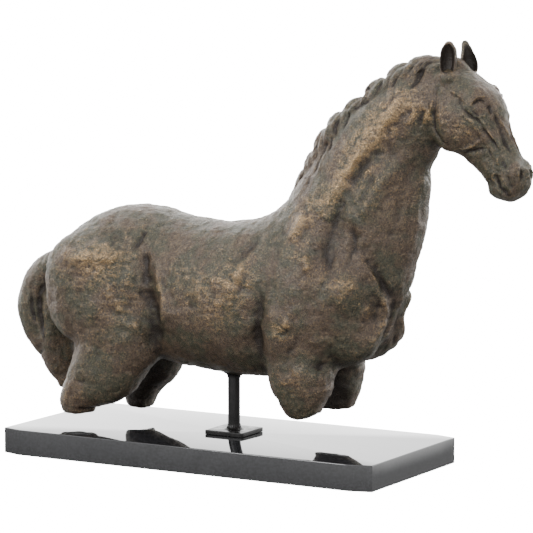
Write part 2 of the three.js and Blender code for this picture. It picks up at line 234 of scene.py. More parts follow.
class Clay:
    """A block of space on a grid that forms are joined to and cut from, with soft edges."""

    def __init__(self, low, high, step):
        self.low, self.step = np.array(low, float), step
        self.axes = [np.arange(low[k], high[k] + step, step).astype(np.float32) for k in range(3)]
        self.value = np.full([len(a) for a in self.axes], FAR, np.float32)

    def blank(self):
        """An empty block of clay on the same grid."""
        other = Clay(self.low, self.low, self.step)
        other.axes, other.value = self.axes, np.full_like(self.value, FAR)
        return other

    def _merge(self, form, soft, rule):
        """Changes the clay by a rule, in the block of the grid that the form can reach."""
        block = []
        for axis, low, high in zip(self.axes, *form.bounds):
            ends = np.searchsorted(axis, [low - soft - MARGIN, high + soft + MARGIN])
            block.append(slice(*ends))
        if all(part.start < part.stop for part in block):
            block = tuple(block)
            at = np.ix_(*(axis[part] for axis, part in zip(self.axes, block)))
            self.value[block] = rule(self.value[block], form.distance(*at), soft)

    def add(self, form, soft=4.0):
        self._merge(form, soft, soft_min)

    def cut(self, form, soft=2.0):
        self._merge(form, soft, lambda clay, distance, soft: soft_max(clay, -distance, soft))

    def close_gaps(self):
        """Fills one more point of each square of the grid in which only two opposite points are
        filled, so that no edge of the skin has four faces."""
        for one, two in ((0, 1), (0, 2), (1, 2)) * 3:
            corner = []
            for i, j in ((0, 0), (1, 1), (1, 0), (0, 1)):
                part = [slice(None)] * 3
                part[one] = slice(1, None) if i else slice(None, -1)
                part[two] = slice(1, None) if j else slice(None, -1)
                corner.append(self.value[tuple(part)])
            a, b, c, d = corner
            c[(a < 0) & (b < 0) & (c >= 0) & (d >= 0)] = FILLED
            a[(a >= 0) & (b >= 0) & (c < 0) & (d < 0)] = FILLED

    def skin(self):
        """The surface where the clay ends: points, and quads that face out."""
        self.close_gaps()
        value = self.value
        inside = value < 0
        nx, ny, nz = value.shape
        count = np.zeros((nx - 1, ny - 1, nz - 1), np.uint8)
        for i, j, k in CORNERS:
            count += inside[i : nx - 1 + i, j : ny - 1 + j, k : nz - 1 + k]
        cell = np.nonzero((count > 0) & (count < 8))
        number = np.full(count.shape, -1, np.int32)
        number[cell] = np.arange(len(cell[0]))
        total = np.zeros((len(cell[0]), 3))
        crossings = np.zeros(len(cell[0]))
        for a in CORNERS:
            for axis in range(3):
                if a[axis]:
                    continue
                b = list(a)
                b[axis] = 1
                va = value[cell[0] + a[0], cell[1] + a[1], cell[2] + a[2]]
                vb = value[cell[0] + b[0], cell[1] + b[1], cell[2] + b[2]]
                crosses = (va < 0) != (vb < 0)
                t = np.where(crosses, va / np.where(crosses, va - vb, 1), 0)
                for k in range(3):
                    total[:, k] += crosses * (a[k] + (t if k == axis else 0))
                crossings += crosses
        points = (np.stack(cell, 1) + total / crossings[:, None]) * self.step + self.low
        quads = []
        for axis in range(3):
            one, two = [k for k in range(3) if k != axis]
            ahead = [slice(None)] * 3
            behind = [slice(None)] * 3
            ahead[axis], behind[axis] = slice(1, None), slice(None, -1)
            change = inside[tuple(behind)].astype(np.int8) - inside[tuple(ahead)]
            for sign in (1, -1):
                at = np.array(np.nonzero(change == sign))
                clear = [(at[k] > 0) & (at[k] < value.shape[k] - 1) for k in (one, two)]
                at = at[:, clear[0] & clear[1]]
                around = []
                for da, db in ((-1, -1), (0, -1), (0, 0), (-1, 0)):
                    place = at.copy()
                    place[one] += da
                    place[two] += db
                    around.append(number[tuple(place)])
                quad = np.stack(around, 1)
                flip = (sign == 1) == (axis == 1)
                quads.append(quad[:, ::-1] if flip else quad)
        return points, np.concatenate(quads)


def point_normals(points, quads):
    """Outward directions at the points, averaged over the faces round each."""
    a, b, c, d = (points[quads[:, k]] for k in range(4))
    facing = np.cross(c - a, d - b)
    total = np.zeros_like(points)
    for k in range(4):
        for axis in range(3):
            total[:, axis] += np.bincount(quads[:, k], facing[:, axis], len(points))
    return total / np.maximum(np.linalg.norm(total, axis=1), 1e-9)[:, None]


class Neighbours:
    """Averages over the points that share an edge with each point."""

    def __init__(self, quads, size):
        pairs = np.concatenate([quads[:, [k, (k + 1) % 4]] for k in range(4)])
        self.a = np.concatenate([pairs[:, 0], pairs[:, 1]])
        self.b = np.concatenate([pairs[:, 1], pairs[:, 0]])
        self.size = size
        self.count = np.bincount(self.a, minlength=size)

    def mean(self, values):
        if values.ndim == 1:
            return np.bincount(self.a, values[self.b], self.size) / self.count
        return np.stack([self.mean(values[:, k]) for k in range(values.shape[1])], 1)

    def blur(self, values, rounds):
        for _ in range(rounds):
            values = 0.4 * values + 0.6 * self.mean(values)
        return values


# odd numbers that scatter the random values of neighbouring cells
SCATTER = np.array([374761393, 668265263, 2147483647])
SCATTER_SEED, SCATTER_AGAIN = 69069, 1274126177
WORD, HALF_WORD = 0xFFFFFFFF, 0xFFFF
SEED_SHIFT = 17.31  # how far the pattern moves from one seed to the next, in cells


def noise(points, size, seed):
    """Smooth random values from -1 to 1 that vary over about size."""
    p = points / size + seed * SEED_SHIFT
    cell = np.floor(p).astype(np.int64)
    f = ease(p - cell)
    total = 0
    for corner in CORNERS:
        h = ((cell + corner) * SCATTER).sum(1) + seed * SCATTER_SEED & WORD
        h = (h ^ (h >> 13)) * SCATTER_AGAIN & WORD
        h = h ^ (h >> 16)
        weight = np.where(corner, f, 1 - f).prod(1)
        total = total + weight * ((h & HALF_WORD) / (HALF_WORD / 2) - 1)
    return total


def distance_to_line(points, line):
    """Distance from points to a polyline, and how far along it (0 to 1) the nearest place is."""
    line = np.asarray(line, float)
    best = np.full(len(points), 1e9)
    place = np.zeros(len(points))
    lengths = np.linalg.norm(np.diff(line, axis=0), axis=1)
    start = np.concatenate([[0], np.cumsum(lengths)])
    for k, (a, b) in enumerate(zip(line[:-1], line[1:])):
        ab = b - a
        t = np.clip((points - a) @ ab / max(lengths[k] ** 2, 1e-9), 0, 1)
        d = np.linalg.norm(points - a - t[:, None] * ab, axis=1)
        nearer = d < best
        best[nearer] = d[nearer]
        place[nearer] = (start[k] + t[nearer] * lengths[k]) / start[-1]
    return best, place


SHOULDER = 2.1  # width of a stroke's soft shoulder over the stroke's own
WANDER = 0.34  # how far a stroke strays, over its radius
RIDGE, SKIRT = 0.68, 0.32  # shares of a stroke's height in its ridge and in its soft shoulder
FADE, END = 0.3, 0.25  # share of its length over which a stroke fades, and its height at the ends
UNEVEN = 0.4  # how much a stroke's height varies along its way
LINE_SAMPLES = 6  # pieces that a stroke's curve has between two of its points
WORKED = 4  # how much a stroke as high as its radius counts as worked


def bell(r):
    r = np.clip(r, 0, 1)
    return (1 - r * r) ** 2


class Skin:
    """A surface that is worked with brushes, as a modeller works clay."""

    def __init__(self, points, quads):
        self.points, self.quads = points, quads
        self.around = Neighbours(quads, len(points))
        self.normals = point_normals(points, quads)
        # the ears also keep here the painted shade of their hollows, as carving
        self.worked = np.zeros(len(points))  # how much strokes have raised or carved each point

    def refresh(self):
        self.normals = point_normals(self.points, self.quads)

    def stroke(self, line, radius, height, sides=(1, -1), head=False, wander=WANDER):
        """Raises the skin (or carves it, when height is negative) along a line of points. The line
        is given for the horse's right side, and sides says on which sides it is made. The stroke
        wanders, fades at its ends and has a wide soft shoulder, as a stroke in clay has."""
        line = np.asarray(line, float)
        if len(line) > 2:
            line = catmull_rom(line, np.linspace(0, 1, LINE_SAMPLES * (len(line) - 1) + 1))
        reach = SHOULDER * radius
        for side in sides:
            # side 1 is the horse's right, where y is negative
            path = line * np.array([1, side, 1])
            if head:
                path = head_to_world(path)
            low, high = path.min(0) - reach - radius, path.max(0) + reach + radius
            near = np.nonzero(((self.points > low) & (self.points < high)).all(1))[0]
            if not len(near):
                continue
            places = self.points[near]
            stray = np.stack([noise(places, 2.2 * radius, seed) for seed in (1, 2, 3)], 1)
            d, along = distance_to_line(places + wander * radius * stray, path)
            shape = RIDGE * bell(d / radius) + SKIRT * bell(d / reach)
            ends = END + (1 - END) * ease(np.clip(np.minimum(along, 1 - along) / FADE, 0, 1))
            rise = height * shape * ends * (1 + UNEVEN * noise(places, 1.6 * radius + 3, 4))
            self.points[near] += self.normals[near] * rise[:, None]
            self.worked[near] += rise / radius * WORKED

    def work(self, strokes, **options):
        for line, radius, height in strokes:
            self.stroke(line, radius, height, **options)

    def grain(self, layers):
        """Roughens the skin: each layer is the size of its lumps, their height and a seed."""
        self.refresh()
        rise = 0
        for size, height, seed in layers:
            lumps = noise(self.points, size, seed)
            # the lumps are rounded and meet in creases
            creases = np.abs(noise(self.points, 1.3 * size, seed + 7))
            rise = rise + height * (0.55 * lumps + 1.3 * creases - 0.4)
        self.points = self.points + self.normals * rise[:, None]
        self.refresh()

    def relief(self, rounds):
        """How far each point stands out from its surroundings; more rounds look further round."""
        return ((self.points - self.around.blur(self.points, rounds)) * self.normals).sum(1)


# ---------------------------------------------------------------- the horse's forms
# stations: [x, y, z, half width, front or upper reach, rear or lower reach]
TRUNK = [
    [-222, 0, 200, 24, 22, 36],
    [-212, 0, 200, 44, 40, 54],
    [-192, 0, 200, 64, 60, 66],
    [-155, 0, 202, 72, 82, 72],
    [-114, 0, 202, 72, 90, 80],
    [-72, 0, 197, 69, 87, 85],
    [-30, 0, 191, 73, 88, 85],
    [10, 0, 190, 76, 88, 88],
    [50, 0, 192, 75, 92, 91],
    [90, 0, 195, 72, 98, 88],
    [130, 0, 196, 70, 94, 84],
    [168, 0, 196, 64, 84, 74],
    [196, 0, 194, 50, 62, 58],
    [213, 0, 190, 24, 32, 32],
]
NECK = [
    [112, 0, 190, 64, 70, 90],
    [140, 0, 238, 62, 80, 92],
    [168, 0, 290, 54, 78, 86],
    [190, 0, 340, 44, 67, 74],
    [210, 0, 376, 38, 57, 62],
    [236, 0, 402, 34, 50, 50],
    [262, 0, 422, 30, 45, 42],
    [284, 0, 432, 25, 37, 34],
]
TAIL = [
    [-200, 0, 224, 22, 18, 16],
    [-226, 0, 216, 27, 22, 20],
    [-250, 0, 194, 29, 27, 26],
    [-258, 0, 162, 29, 36, 28],
    [-249, 0, 130, 25, 37, 24],
    [-236, 0, 98, 19, 27, 16],
    [-221, 0, 67, 10, 12, 9],
]
# the limbs of the right (-1) and the left (1) side
FORE_LIMBS = {
    -1: [
        [120, -38, 150, 32, 38, 42],
        [121, -40, 112, 31, 40, 38],
        [125, -41, 92, 26, 35, 31],
        [129, -42, 76, 20, 23, 25],
        [133, -42, 66, 14, 15, 15],
    ],
    1: [
        [120, 38, 150, 32, 38, 42],
        [119, 40, 112, 31, 37, 38],
        [120, 41, 92, 27, 33, 32],
        [120, 42, 76, 23, 27, 26],
        [120, 42, 64, 20, 22, 22],
    ],
}
HIND_LIMBS = {
    -1: [
        [-118, -42, 168, 34, 52, 52],
        [-132, -44, 126, 33, 53, 43],
        [-151, -46, 96, 30, 48, 32],
        [-166, -47, 74, 26, 32, 26],
        [-173, -48, 59, 22, 21, 24],
        [-173, -48, 47, 17, 15, 19],
    ],
    1: [
        [-118, 42, 168, 34, 52, 52],
        [-128, 44, 126, 33, 44, 48],
        [-134, 46, 98, 30, 38, 40],
        [-142, 47, 74, 26, 24, 29],
        [-147, 48, 56, 20, 16, 20],
        [-149, 48, 43, 17, 13, 15],
    ],
}
# the head's own frame: x forward from the poll, before the head is turned on the neck
HEAD = [
    [-4, 0, 438, 20, 32, 30],
    [14, 0, 428, 28, 42, 37],
    [34, 0, 414, 30, 46, 41],
    [54, 0, 399, 28, 45, 38],
    [70, 0, 382, 22, 34, 31],
    [84, 0, 366, 18, 27, 27],
    [96, 0, 350, 17, 25, 25],
    [106, 0, 338, 17, 22, 22],
    [115, 0, 329, 13, 14, 14],
]
HEAD_PIVOT_X = 270
HEAD_TURN = np.radians(-10)


def add_pair(clay, form, soft, turned=False):
    """Joins a form on the left side of the horse and its mirror image on the right."""
    for one in (Mirrored(form), form):
        clay.add(Turned(one) if turned else one, soft)


def join_trunk(clay):
    clay.add(Sweep(TRUNK), 6)
    clay.add(Sweep(NECK, power=2.1), 26)
    for stations in (*FORE_LIMBS.values(), *HIND_LIMBS.values()):
        clay.add(Sweep(stations, power=2.4, end_round=3), 14)
    add_pair(clay, Mass([-150, 42, 196], [62, 41, 66], 0.12, power=2.8), 12)  # haunch
    add_pair(clay, Mass([-94, 46, 148], [28, 26, 42], 0.2), 12)  # stifle
    add_pair(clay, Mass([126, 42, 192], [48, 36, 72], -0.25), 12)  # shoulder
    add_pair(clay, Mass([183, 44, 212], [22, 24, 30], -0.3), 9)  # point of the shoulder
    add_pair(clay, Mass([178, 24, 164], [36, 27, 36], 0.35), 9)  # breast
    add_pair(clay, Mass([104, 46, 166], [22, 32, 44], 0.1), 10)  # elbow
    # the boss under the belly that takes the post
    clay.add(Cord([[9, 0, 108, 10.5], [9, 0, 122, 24]]), 10)


def join_tail(clay):
    clay.add(Sweep(TAIL), 7)
    add_pair(clay, Mass([-258, 9, 160], [24, 19, 44], -0.05), 6)
    lock = [[-216, -12, 216, 13], [-232, -15, 176, 15], [-236, -13, 128, 15], [-231, -8, 92, 12]]
    clay.add(Cord(lock), 4)


def join_head(clay):
    clay.add(Turned(Sweep(HEAD, power=2.3)), 12)
    face = [
        (Mass([36, 17, 404], [27, 14, 32], -0.5), 8),  # cheek
        (Mass([64, 17, 432], [13, 7, 7], -0.7), 8),  # brow
        (Mass([73, 18.5, 421], [6.5, 5.5, 6]), 2.5),  # eyeball
        (Cord([[60, 21, 418, 5], [76, 19, 406, 4], [94, 14, 382, 3]]), 6),  # cheekbone
        (Mass([109, 10, 353], [10, 8, 12], -0.5), 6),  # nostril
        (Mass([101, 10, 336], [11, 8, 11], 0.3), 6),  # upper lip
    ]
    for form, soft in face:
        add_pair(clay, form, soft, turned=True)
    clay.add(Turned(Mass([88, 0, 333], [15, 13, 12], -0.2)), 5)  # chin
    clay.add(Turned(Mass([26, 0, 463], [15, 13, 12], -0.3)), 6)  # forelock
    add_pair(clay, Mass([29, 18, 453], [11, 10, 9]), 6, turned=True)  # root of an ear


# each lock of the mane: crest x and z, half length, half height, and how far its tail hangs out
LOCKS = [
    [270, 463, 13, 11, 2],
    [252, 463, 19, 11, 4],
    [225, 452, 17, 12, 5],
    [197, 434, 17, 12, 3],
    [169, 411, 18, 12, 6],
    [148, 395, 14, 12, 3],
    [131, 374, 18, 12, 6],
    [117, 350, 15, 11, 3],
    [105, 329, 17, 10, 5],
    [93, 306, 17, 8, 3],
]
# a lock's tail: how far each point lies along the crest, out to the side and up, and its radius
LOCK_TAIL = [(13, 5, 1, 6.5), (4, 11, -1, 6.5), (-7, 15, -9, 6), (-15, 17, -20, 2.5)]
HANGING = -9  # the points of a tail that are lower than this hang out by the lock's own amount


def lock_pitch(i):
    """The slope of the crest at a lock."""
    x0, z0 = LOCKS[max(i - 1, 0)][:2]
    x1, z1 = LOCKS[min(i + 1, len(LOCKS) - 1)][:2]
    return np.arctan2(z0 - z1, x0 - x1)


def lock_tail(i, side, shift=0):
    """The line of a lock's tail, which curls down over the side of the neck."""
    x, z, hang = LOCKS[i][0], LOCKS[i][1], LOCKS[i][4]
    c, s = np.cos(lock_pitch(i)), np.sin(lock_pitch(i))
    line = []
    for along, out, up, r in LOCK_TAIL:
        along = along + shift
        out = out + hang * (up < HANGING)
        line.append([x + along * c - up * s, side * out, z + along * s + up * c, r])
    return line


def join_mane(clay):
    for i, (x, z, length, height, _) in enumerate(LOCKS):
        clay.add(Mass([x, 0, z], [length, 12, height + 1.5], lock_pitch(i), power=2.3), 1.2)
        for side in (-1, 1):
            for shift in (0, -0.8 * length):
                clay.add(Cord(lock_tail(i, side, shift)), 1.6)


# ---------------------------------------------------------------- brushwork
# strokes: points of the line on the horse's right side, brush radius, height (negative carves)
TRUNK_STROKES = [
    # flank hollow behind the barrel: its first crease, its dark bottom and the ridges that run down it
    ([[-80, -50, 271], [-84, -58, 258], [-89, -65, 246]], 5, -3.2),
    ([[-76, -61, 243], [-72, -68, 224], [-68, -72, 204]], 10, -6.0),
    ([[-73, -70, 212], [-65, -72, 186], [-59, -68, 160], [-61, -54, 128]], 16, -9.0),
    ([[-68, -70, 206], [-63, -72, 184], [-60, -70, 164]], 6, -4.0),
    ([[-60, -72, 196], [-53, -72, 170], [-49, -64, 142]], 5, -3.4),
    ([[-64, -72, 190], [-57, -72, 170], [-54, -66, 148]], 4, 2.6),
    ([[-56, -66, 240], [-49, -72, 210], [-42, -72, 182], [-39, -66, 150]], 9, 4.0),
    # the shelf of the haunch and the hollow above it
    ([[-184, -60, 236], [-157, -78, 231], [-125, -80, 236], [-92, -72, 238]], 13, 4.5),
    ([[-160, -68, 254], [-125, -66, 259], [-92, -62, 255]], 15, -3.5),
    ([[-120, -60, 266], [-92, -56, 268]], 12, 2.0),
    # the ridge and the knots on the thigh
    ([[-90, -70, 231], [-87, -75, 200], [-81, -74, 171], [-76, -67, 142]], 9, 4.2),
    ([[-99, -77, 190], [-97, -75, 170]], 8, 3.6),
    ([[-140, -84, 200], [-128, -82, 160], [-126, -78, 120]], 20, 2.0),
    ([[-79, -50, 268], [-82, -60, 252]], 4, -1.6),
    ([[-170, -84, 200], [-168, -82, 160], [-160, -78, 120]], 14, -1.5),
    # the corner of the buttock
    ([[-206, -56, 222], [-212, -56, 190], [-204, -60, 158], [-190, -64, 130]], 10, 3.0),
    ([[-196, -74, 205], [-192, -76, 165]], 12, -1.8),
    # elbow, girth and barrel
    ([[90, -74, 217], [84, -75, 190], [79, -69, 158], [76, -50, 118]], 11, -5.6),
    ([[66, -70, 158], [66, -58, 132]], 15, -3.0),
    ([[26, -76, 205], [51, -76, 188]], 24, 2.6),
    ([[67, -67, 240], [54, -74, 214]], 12, 3.4),
    ([[-8, -76, 206], [-2, -74, 180]], 18, -1.4),
    ([[-34, -76, 200], [-30, -74, 170]], 16, 1.6),
    ([[39, -69, 232], [59, -60, 253], [79, -50, 272]], 12, -2.6),
    # shoulder blade, triceps and point of the shoulder
    ([[136, -52, 305], [126, -60, 284], [124, -68, 260]], 15, 5.0),
    ([[104, -56, 290], [100, -64, 262], [102, -70, 236]], 14, -2.5),
    ([[138, -70, 253], [152, -72, 235]], 10, 4.4),
    ([[150, -64, 264], [155, -68, 246]], 6, -2.6),
    ([[119, -79, 170], [129, -80, 184]], 9, 3.4),
    ([[134, -78, 212], [150, -74, 200], [160, -70, 176]], 14, -2.0),
    ([[104, -78, 200], [110, -78, 150]], 14, 2.0),
    ([[186, -65, 226], [194, -60, 216]], 12, 3.0),
    ([[166, -74, 212], [172, -72, 188]], 10, 1.8),
    ([[140, -76, 166], [128, -75, 150], [118, -72, 132]], 6, -1.6),
    ([[164, -66, 150], [150, -72, 158]], 8, 1.6),
    # the deep pits between shoulder and neck, and the rough ridges in them
    ([[176, -54, 300], [174, -60, 270], [174, -64, 246]], 20, -5.0),
    ([[174, -52, 309], [170, -56, 287], [165, -61, 267], [168, -64, 248], [172, -66, 234]], 11, -7.0),
    ([[188, -52, 288], [194, -54, 262], [187, -60, 240]], 8, -4.6),
    ([[180, -54, 286], [181, -58, 262], [178, -63, 240]], 4.5, 4.4),
    ([[160, -58, 286], [156, -62, 268], [160, -66, 250]], 5, 3.8),
    ([[200, -50, 262], [208, -46, 240], [216, -38, 224]], 4, 2.2),
    ([[205, -50, 254], [213, -44, 234]], 6, -1.6),
    # breast: the big rounded mass, its rim and the folds beside it
    ([[199, -52, 250], [214, -44, 224], [222, -30, 200],
      [217, -22, 176], [207, -34, 156], [190, -42, 136]], 7, 4.0),
    ([[204, -48, 262], [213, -42, 244], [226, -28, 214], [230, -14, 196],
      [222, -10, 172], [210, -18, 150], [196, -28, 132]], 8, -4.2),
    ([[234, -13, 222], [232, -2, 196], [220, -3, 170], [204, -6, 142]], 6, 3.0),
    ([[206, -40, 200], [200, -44, 176]], 12, 2.0),
    ([[194, -40, 134], [178, -48, 128], [160, -56, 128], [140, -68, 130]], 7, -3.6),
    ([[126, -74, 118], [144, -64, 116]], 8, 1.2),
]
NECK_STROKES = [
    # the crest muscle, the groove below it, the muscles of the throat and the jugular groove
    ([[256, -30, 436], [235, -34, 412], [212, -38, 388],
      [192, -42, 360], [176, -46, 332], [156, -52, 306]], 13, 4.0),
    ([[262, -29, 388], [239, -35, 378], [216, -40, 368],
      [199, -43, 350], [189, -48, 326], [179, -53, 302]], 13, -3.4),
    ([[249, -30, 366], [229, -38, 342], [212, -45, 314], [203, -51, 286]], 14, 4.2),
    ([[266, -18, 368], [250, -26, 340], [240, -33, 308], [232, -38, 276], [222, -42, 251]], 9, -2.0),
    ([[262, -6, 356], [252, -12, 326], [248, -14, 290], [242, -14, 252]], 10, 2.2),
    ([[284, -30, 438], [280, -33, 422], [270, -31, 398]], 6, 3.0),
    ([[272, -30, 420], [264, -31, 404], [258, -31, 392]], 6, -1.2),
    ([[262, -29, 428], [256, -31, 410], [250, -32, 398]], 5, 1.8),
    ([[212, -42, 350], [206, -46, 330], [198, -50, 306]], 7, -1.4),
    ([[226, -37, 356], [218, -42, 330]], 6, -1.0),
]
MANE_STROKES = [
    ([[274, -7, 467], [267, -11, 468], [262, -15, 464],
      [259, -20, 456], [256, -24, 448], [250, -26, 440]], 4.0, -4.2),
    ([[272, -5, 474], [266, -9, 474], [260, -15, 471], [256, -18, 463]], 3.0, -2.4),
    ([[268, -8, 471], [263, -13, 468], [258, -19, 460]], 2.4, 1.6),
    ([[240, -10, 463], [236, -16, 459], [232, -19, 452], [226, -22, 443]], 3.6, -3.8),
    ([[236, -6, 466], [228, -12, 464], [220, -18, 458]], 3.0, -1.8),
    ([[206, -20, 434], [209, -18, 441], [215, -14, 445]], 3.2, -3.6),
    ([[220, -8, 452], [211, -15, 449], [203, -18, 440]], 3.0, -1.8),
    ([[200, -20, 425], [186, -21, 421], [172, -16, 415]], 3.6, -3.0),
    ([[196, -6, 437], [186, -12, 436], [178, -18, 426]], 3.0, -2.0),
    ([[171, -14, 412], [167, -20, 404], [166, -26, 393]], 3.2, -4.2),
    ([[156, -18, 403], [151, -20, 393], [155, -24, 385]], 3.4, -3.4),
    ([[160, -6, 417], [150, -11, 412], [143, -16, 401]], 3.0, -1.8),
    ([[148, -20, 383], [150, -27, 373], [150, -31, 366]], 3.2, -3.6),
    ([[143, -20, 377], [139, -26, 363], [136, -30, 352], [133, -34, 342]], 3.6, -4.2),
    ([[134, -8, 386], [128, -14, 376], [122, -18, 362]], 3.0, -1.8),
    ([[128, -28, 338], [127, -36, 328]], 3.0, -2.4),
    ([[114, -16, 346], [106, -18, 334], [98, -16, 324]], 3.4, -2.8),
    ([[118, -6, 354], [112, -12, 342], [104, -14, 330]], 3.0, -1.4),
]
# in the head's own frame
HEAD_STROKES = [
    # the back of the jaw
    ([[25, -27, 452], [19, -27, 439], [18, -29, 424], [18, -30, 409],
      [18, -29, 396], [26, -28, 385], [36, -25, 378]], 5, -3.4),
    ([[29, -29, 431], [29, -32, 409], [32, -31, 392]], 6, 1.6),
    # cheekbone: its thin ridge from below the ear, and the creases above and below it down to the muzzle
    ([[34, -26, 443], [42, -27, 438], [51, -26, 433],
      [60, -27, 426], [66, -27, 418], [72, -26, 413]], 2.4, 1.6),
    ([[53, -27, 431], [58, -27, 427], [65, -26, 420], [72, -25, 415], [79, -23, 411]], 1.8, -1.6),
    ([[50, -28, 430], [54, -28, 423], [61, -28, 417],
      [68, -27, 412], [75, -25, 408], [81, -22, 398]], 2.4, -2.2),
    ([[78, -24, 403], [81, -22, 398], [86, -20, 391], [93, -18, 382], [98, -15, 373]], 2.4, -2.2),
    ([[58, -29, 414], [66, -27, 408], [72, -25, 401], [78, -22, 392], [84, -19, 381]], 4.5, 1.4),
    ([[84, -21, 397], [89, -20, 391], [93, -18, 384], [96, -16, 377]], 1.6, 1.2),
    # eye: upper lid, socket, lower lid, inner corner and brow
    ([[65, -26, 425], [68, -25, 429], [71, -22, 433], [75, -18, 434], [79, -14, 433]], 1.8, 2.2),
    ([[68, -25, 426], [71, -24, 429], [75, -20, 431], [79, -17, 428]], 2.2, -2.6),
    ([[70, -26, 416], [75, -24, 413], [81, -20, 414], [83, -18, 419]], 1.6, 1.0),
    ([[81, -17, 426], [84, -16, 421], [86, -16, 414]], 2.6, -1.8),
    ([[63, -20, 442], [68, -16, 442], [74, -13, 438]], 7, 1.8),
    # nasal bone and the hollow beside it
    ([[84, -13, 426], [92, -10, 410], [96, -6, 401],
      [100, -4, 392], [105, -3, 383], [110, -4, 373]], 2.0, 1.6),
    ([[83, -16, 425], [89, -13, 415], [92, -11, 405], [96, -10, 395],
      [101, -10, 384], [107, -9, 375], [111, -12, 366]], 3.4, -2.0),
    ([[84, -19, 411], [90, -16, 398], [97, -15, 386]], 6, -1.2),
    # lower edge of the cheek
    ([[43, -21, 375], [54, -22, 376], [65, -22, 380], [74, -22, 385], [81, -21, 391]], 2.6, 1.6),
    ([[52, -19, 372], [66, -21, 375], [76, -20, 378], [84, -19, 378]], 2.6, -1.6),
    # mouth: its corner, slit and lips
    ([[94, -17, 348], [96, -18, 344], [99, -19, 340]], 2.4, -4.0),
    ([[97, -18, 343], [100, -19, 337], [105, -18, 333], [109, -14, 327]], 2.0, -3.6),
    ([[95, -17, 352], [91, -17, 351], [89, -17, 346], [93, -17, 341]], 1.5, 1.8),
    ([[95, -17, 352], [101, -18, 350]], 1.5, 1.6),
    ([[93, -17, 340], [98, -18, 334], [102, -17, 329], [106, -14, 325]], 1.6, 1.4),
    ([[101, -18, 350], [106, -18, 343], [110, -17, 336], [113, -14, 330]], 2.0, 1.6),
    ([[108, -19, 352], [112, -17, 343], [116, -13, 335]], 4, -1.0),
    ([[82, -15, 345], [86, -15, 342]], 2.0, -1.6),
    # nostril and its rims, and the knots between it and the cheek
    ([[121, -9, 356], [122, -8, 351], [121, -9, 345]], 2.4, -4.0),
    ([[119, -12, 356], [120, -13, 350], [120, -11, 344]], 1.6, 1.8),
    ([[120, -1, 357], [122, 0, 352], [123, -3, 345]], 2.4, 1.8),
    ([[116, -14, 361], [117, -15, 352]], 1.5, 1.8),
    ([[94, -17, 369], [97, -17, 360]], 1.5, 1.6),
    ([[85, -19, 376], [88, -18, 368]], 1.6, -1.6),
    ([[100, -16, 366], [106, -18, 358]], 1.8, -1.8),
]
TAIL_STROKES = [
    ([[-222, -32, 218], [-236, -32, 196], [-243, -30, 172], [-242, -27, 140], [-236, -22, 112]], 6, -5.5),
    ([[-256, -29, 186], [-254, -30, 160], [-251, -28, 141]], 3.5, -2.6),
    ([[-250, -30, 196], [-262, -24, 176], [-266, -20, 150]], 4, -1.4),
    ([[-246, -31, 180], [-246, -29, 150], [-241, -25, 118]], 4, 2.2),
    ([[-232, -26, 190], [-234, -24, 150], [-230, -18, 110]], 5, 1.6),
    ([[-228, -26, 176], [-228, -22, 140]], 4, -1.8),
    ([[-236, -18, 100], [-233, -12, 82]], 4, -1.6),
    ([[-252, -16, 118], [-246, -20, 106]], 8, -3.5),
    ([[-272, 4, 200], [-284, 4, 170], [-278, 4, 136]], 4, -1.8),
    ([[-268, -12, 204], [-280, -12, 172], [-274, -12, 130]], 4, 1.2),
]


# ---------------------------------------------------------------- the ears
# stations up each ear in the head's frame, from its root to its tip
EARS = {
    -1: [
        [27, -18, 446, 5, 5, 5],
        [28, -18, 456, 8, 7.5, 7.5],
        [28.5, -18, 466, 10, 9, 9],
        [29, -18, 476, 10.2, 9, 9],
        [29.5, -18, 484, 9, 8, 8],
        [29.5, -18, 490, 5.4, 5, 5],
        [29.5, -18, 493, 2.6, 2.6, 2.6],
    ],
    1: [
        [29, 18, 446, 6, 6, 6],
        [31, 18, 456, 8.4, 8, 8],
        [31, 18, 465, 10.2, 9.4, 9.4],
        [29, 18, 474, 9.4, 8.6, 8.6],
        [27, 18, 482, 6.6, 6.2, 6.2],
        [25, 18, 489, 4.4, 4.2, 4.2],
        [24.5, 18, 492.6, 2.4, 2.4, 2.4],
    ],
}
# which way each ear's hollow opens
EAR_OPENS = {-1: (2.6, -6.2), 1: (5.5, -4.5)}
EAR_WALL = 2.2
EAR_HOLLOW = (0.22, 0.86)  # where the hollow starts and ends, as shares of the ear's height
# painted shade with darker patina: the inside of each ear's hollow is darkened
EAR_SHADE_DEPTH, EAR_HOLLOW_SHADE = 1.6, 5.5  # how far round the hollow the ear is dark, and how dark
EAR_GRAIN = ((6, 0.35, 41), (2.4, 0.25, 42))


def ear_skin(side):
    rows = np.array(EARS[side])
    hollow = catmull_rom(rows, np.linspace(*EAR_HOLLOW, 6))
    hollow[:, :2] += EAR_OPENS[side]
    hollow[:, 3:] = np.maximum(hollow[:, 3:] - EAR_WALL, 1)
    middle = head_to_world(rows[3, :3])
    clay = Clay(middle - [24, 24, 36], middle + [24, 24, 30], EAR_STEP)
    clay.add(Turned(Sweep(rows, power=2.0, end_round=2)), 1)
    clay.cut(Turned(Sweep(hollow, power=2.0, end_round=2)), 1.4)
    skin = Skin(*clay.skin())
    depth = Turned(Sweep(hollow, power=2.0)).distance(*skin.points.T)
    # the inside of the hollow counts as carved, so the bronze look paints it dark as shade and patina
    skin.worked -= EAR_HOLLOW_SHADE * np.clip(EAR_SHADE_DEPTH - depth, 0, 1)
    skin.grain(EAR_GRAIN)
    return skin


# ---------------------------------------------------------------- casting seams
# a point on each plane, and the way to the outer casting
SEAM = {
    "neck": ([150, 0, 250], [0.41, 0, 0.91]),
    "head": ([266, 0, 420], [0.985, -0.05, 0.14]),
    "tail": ([-224, 0, 215], [-1, 0, -0.2]),
    "trunk": ([62, 0, 0], [1, 0, 0]),
    "fore_limb": ([0, 0, 101], [0, 0, -1]),
    "hind_limb": ([-140, 0, 110], [-0.3, 0, -0.95]),
    "right": ([0, 0, 0], [0, -1, 0]),
}


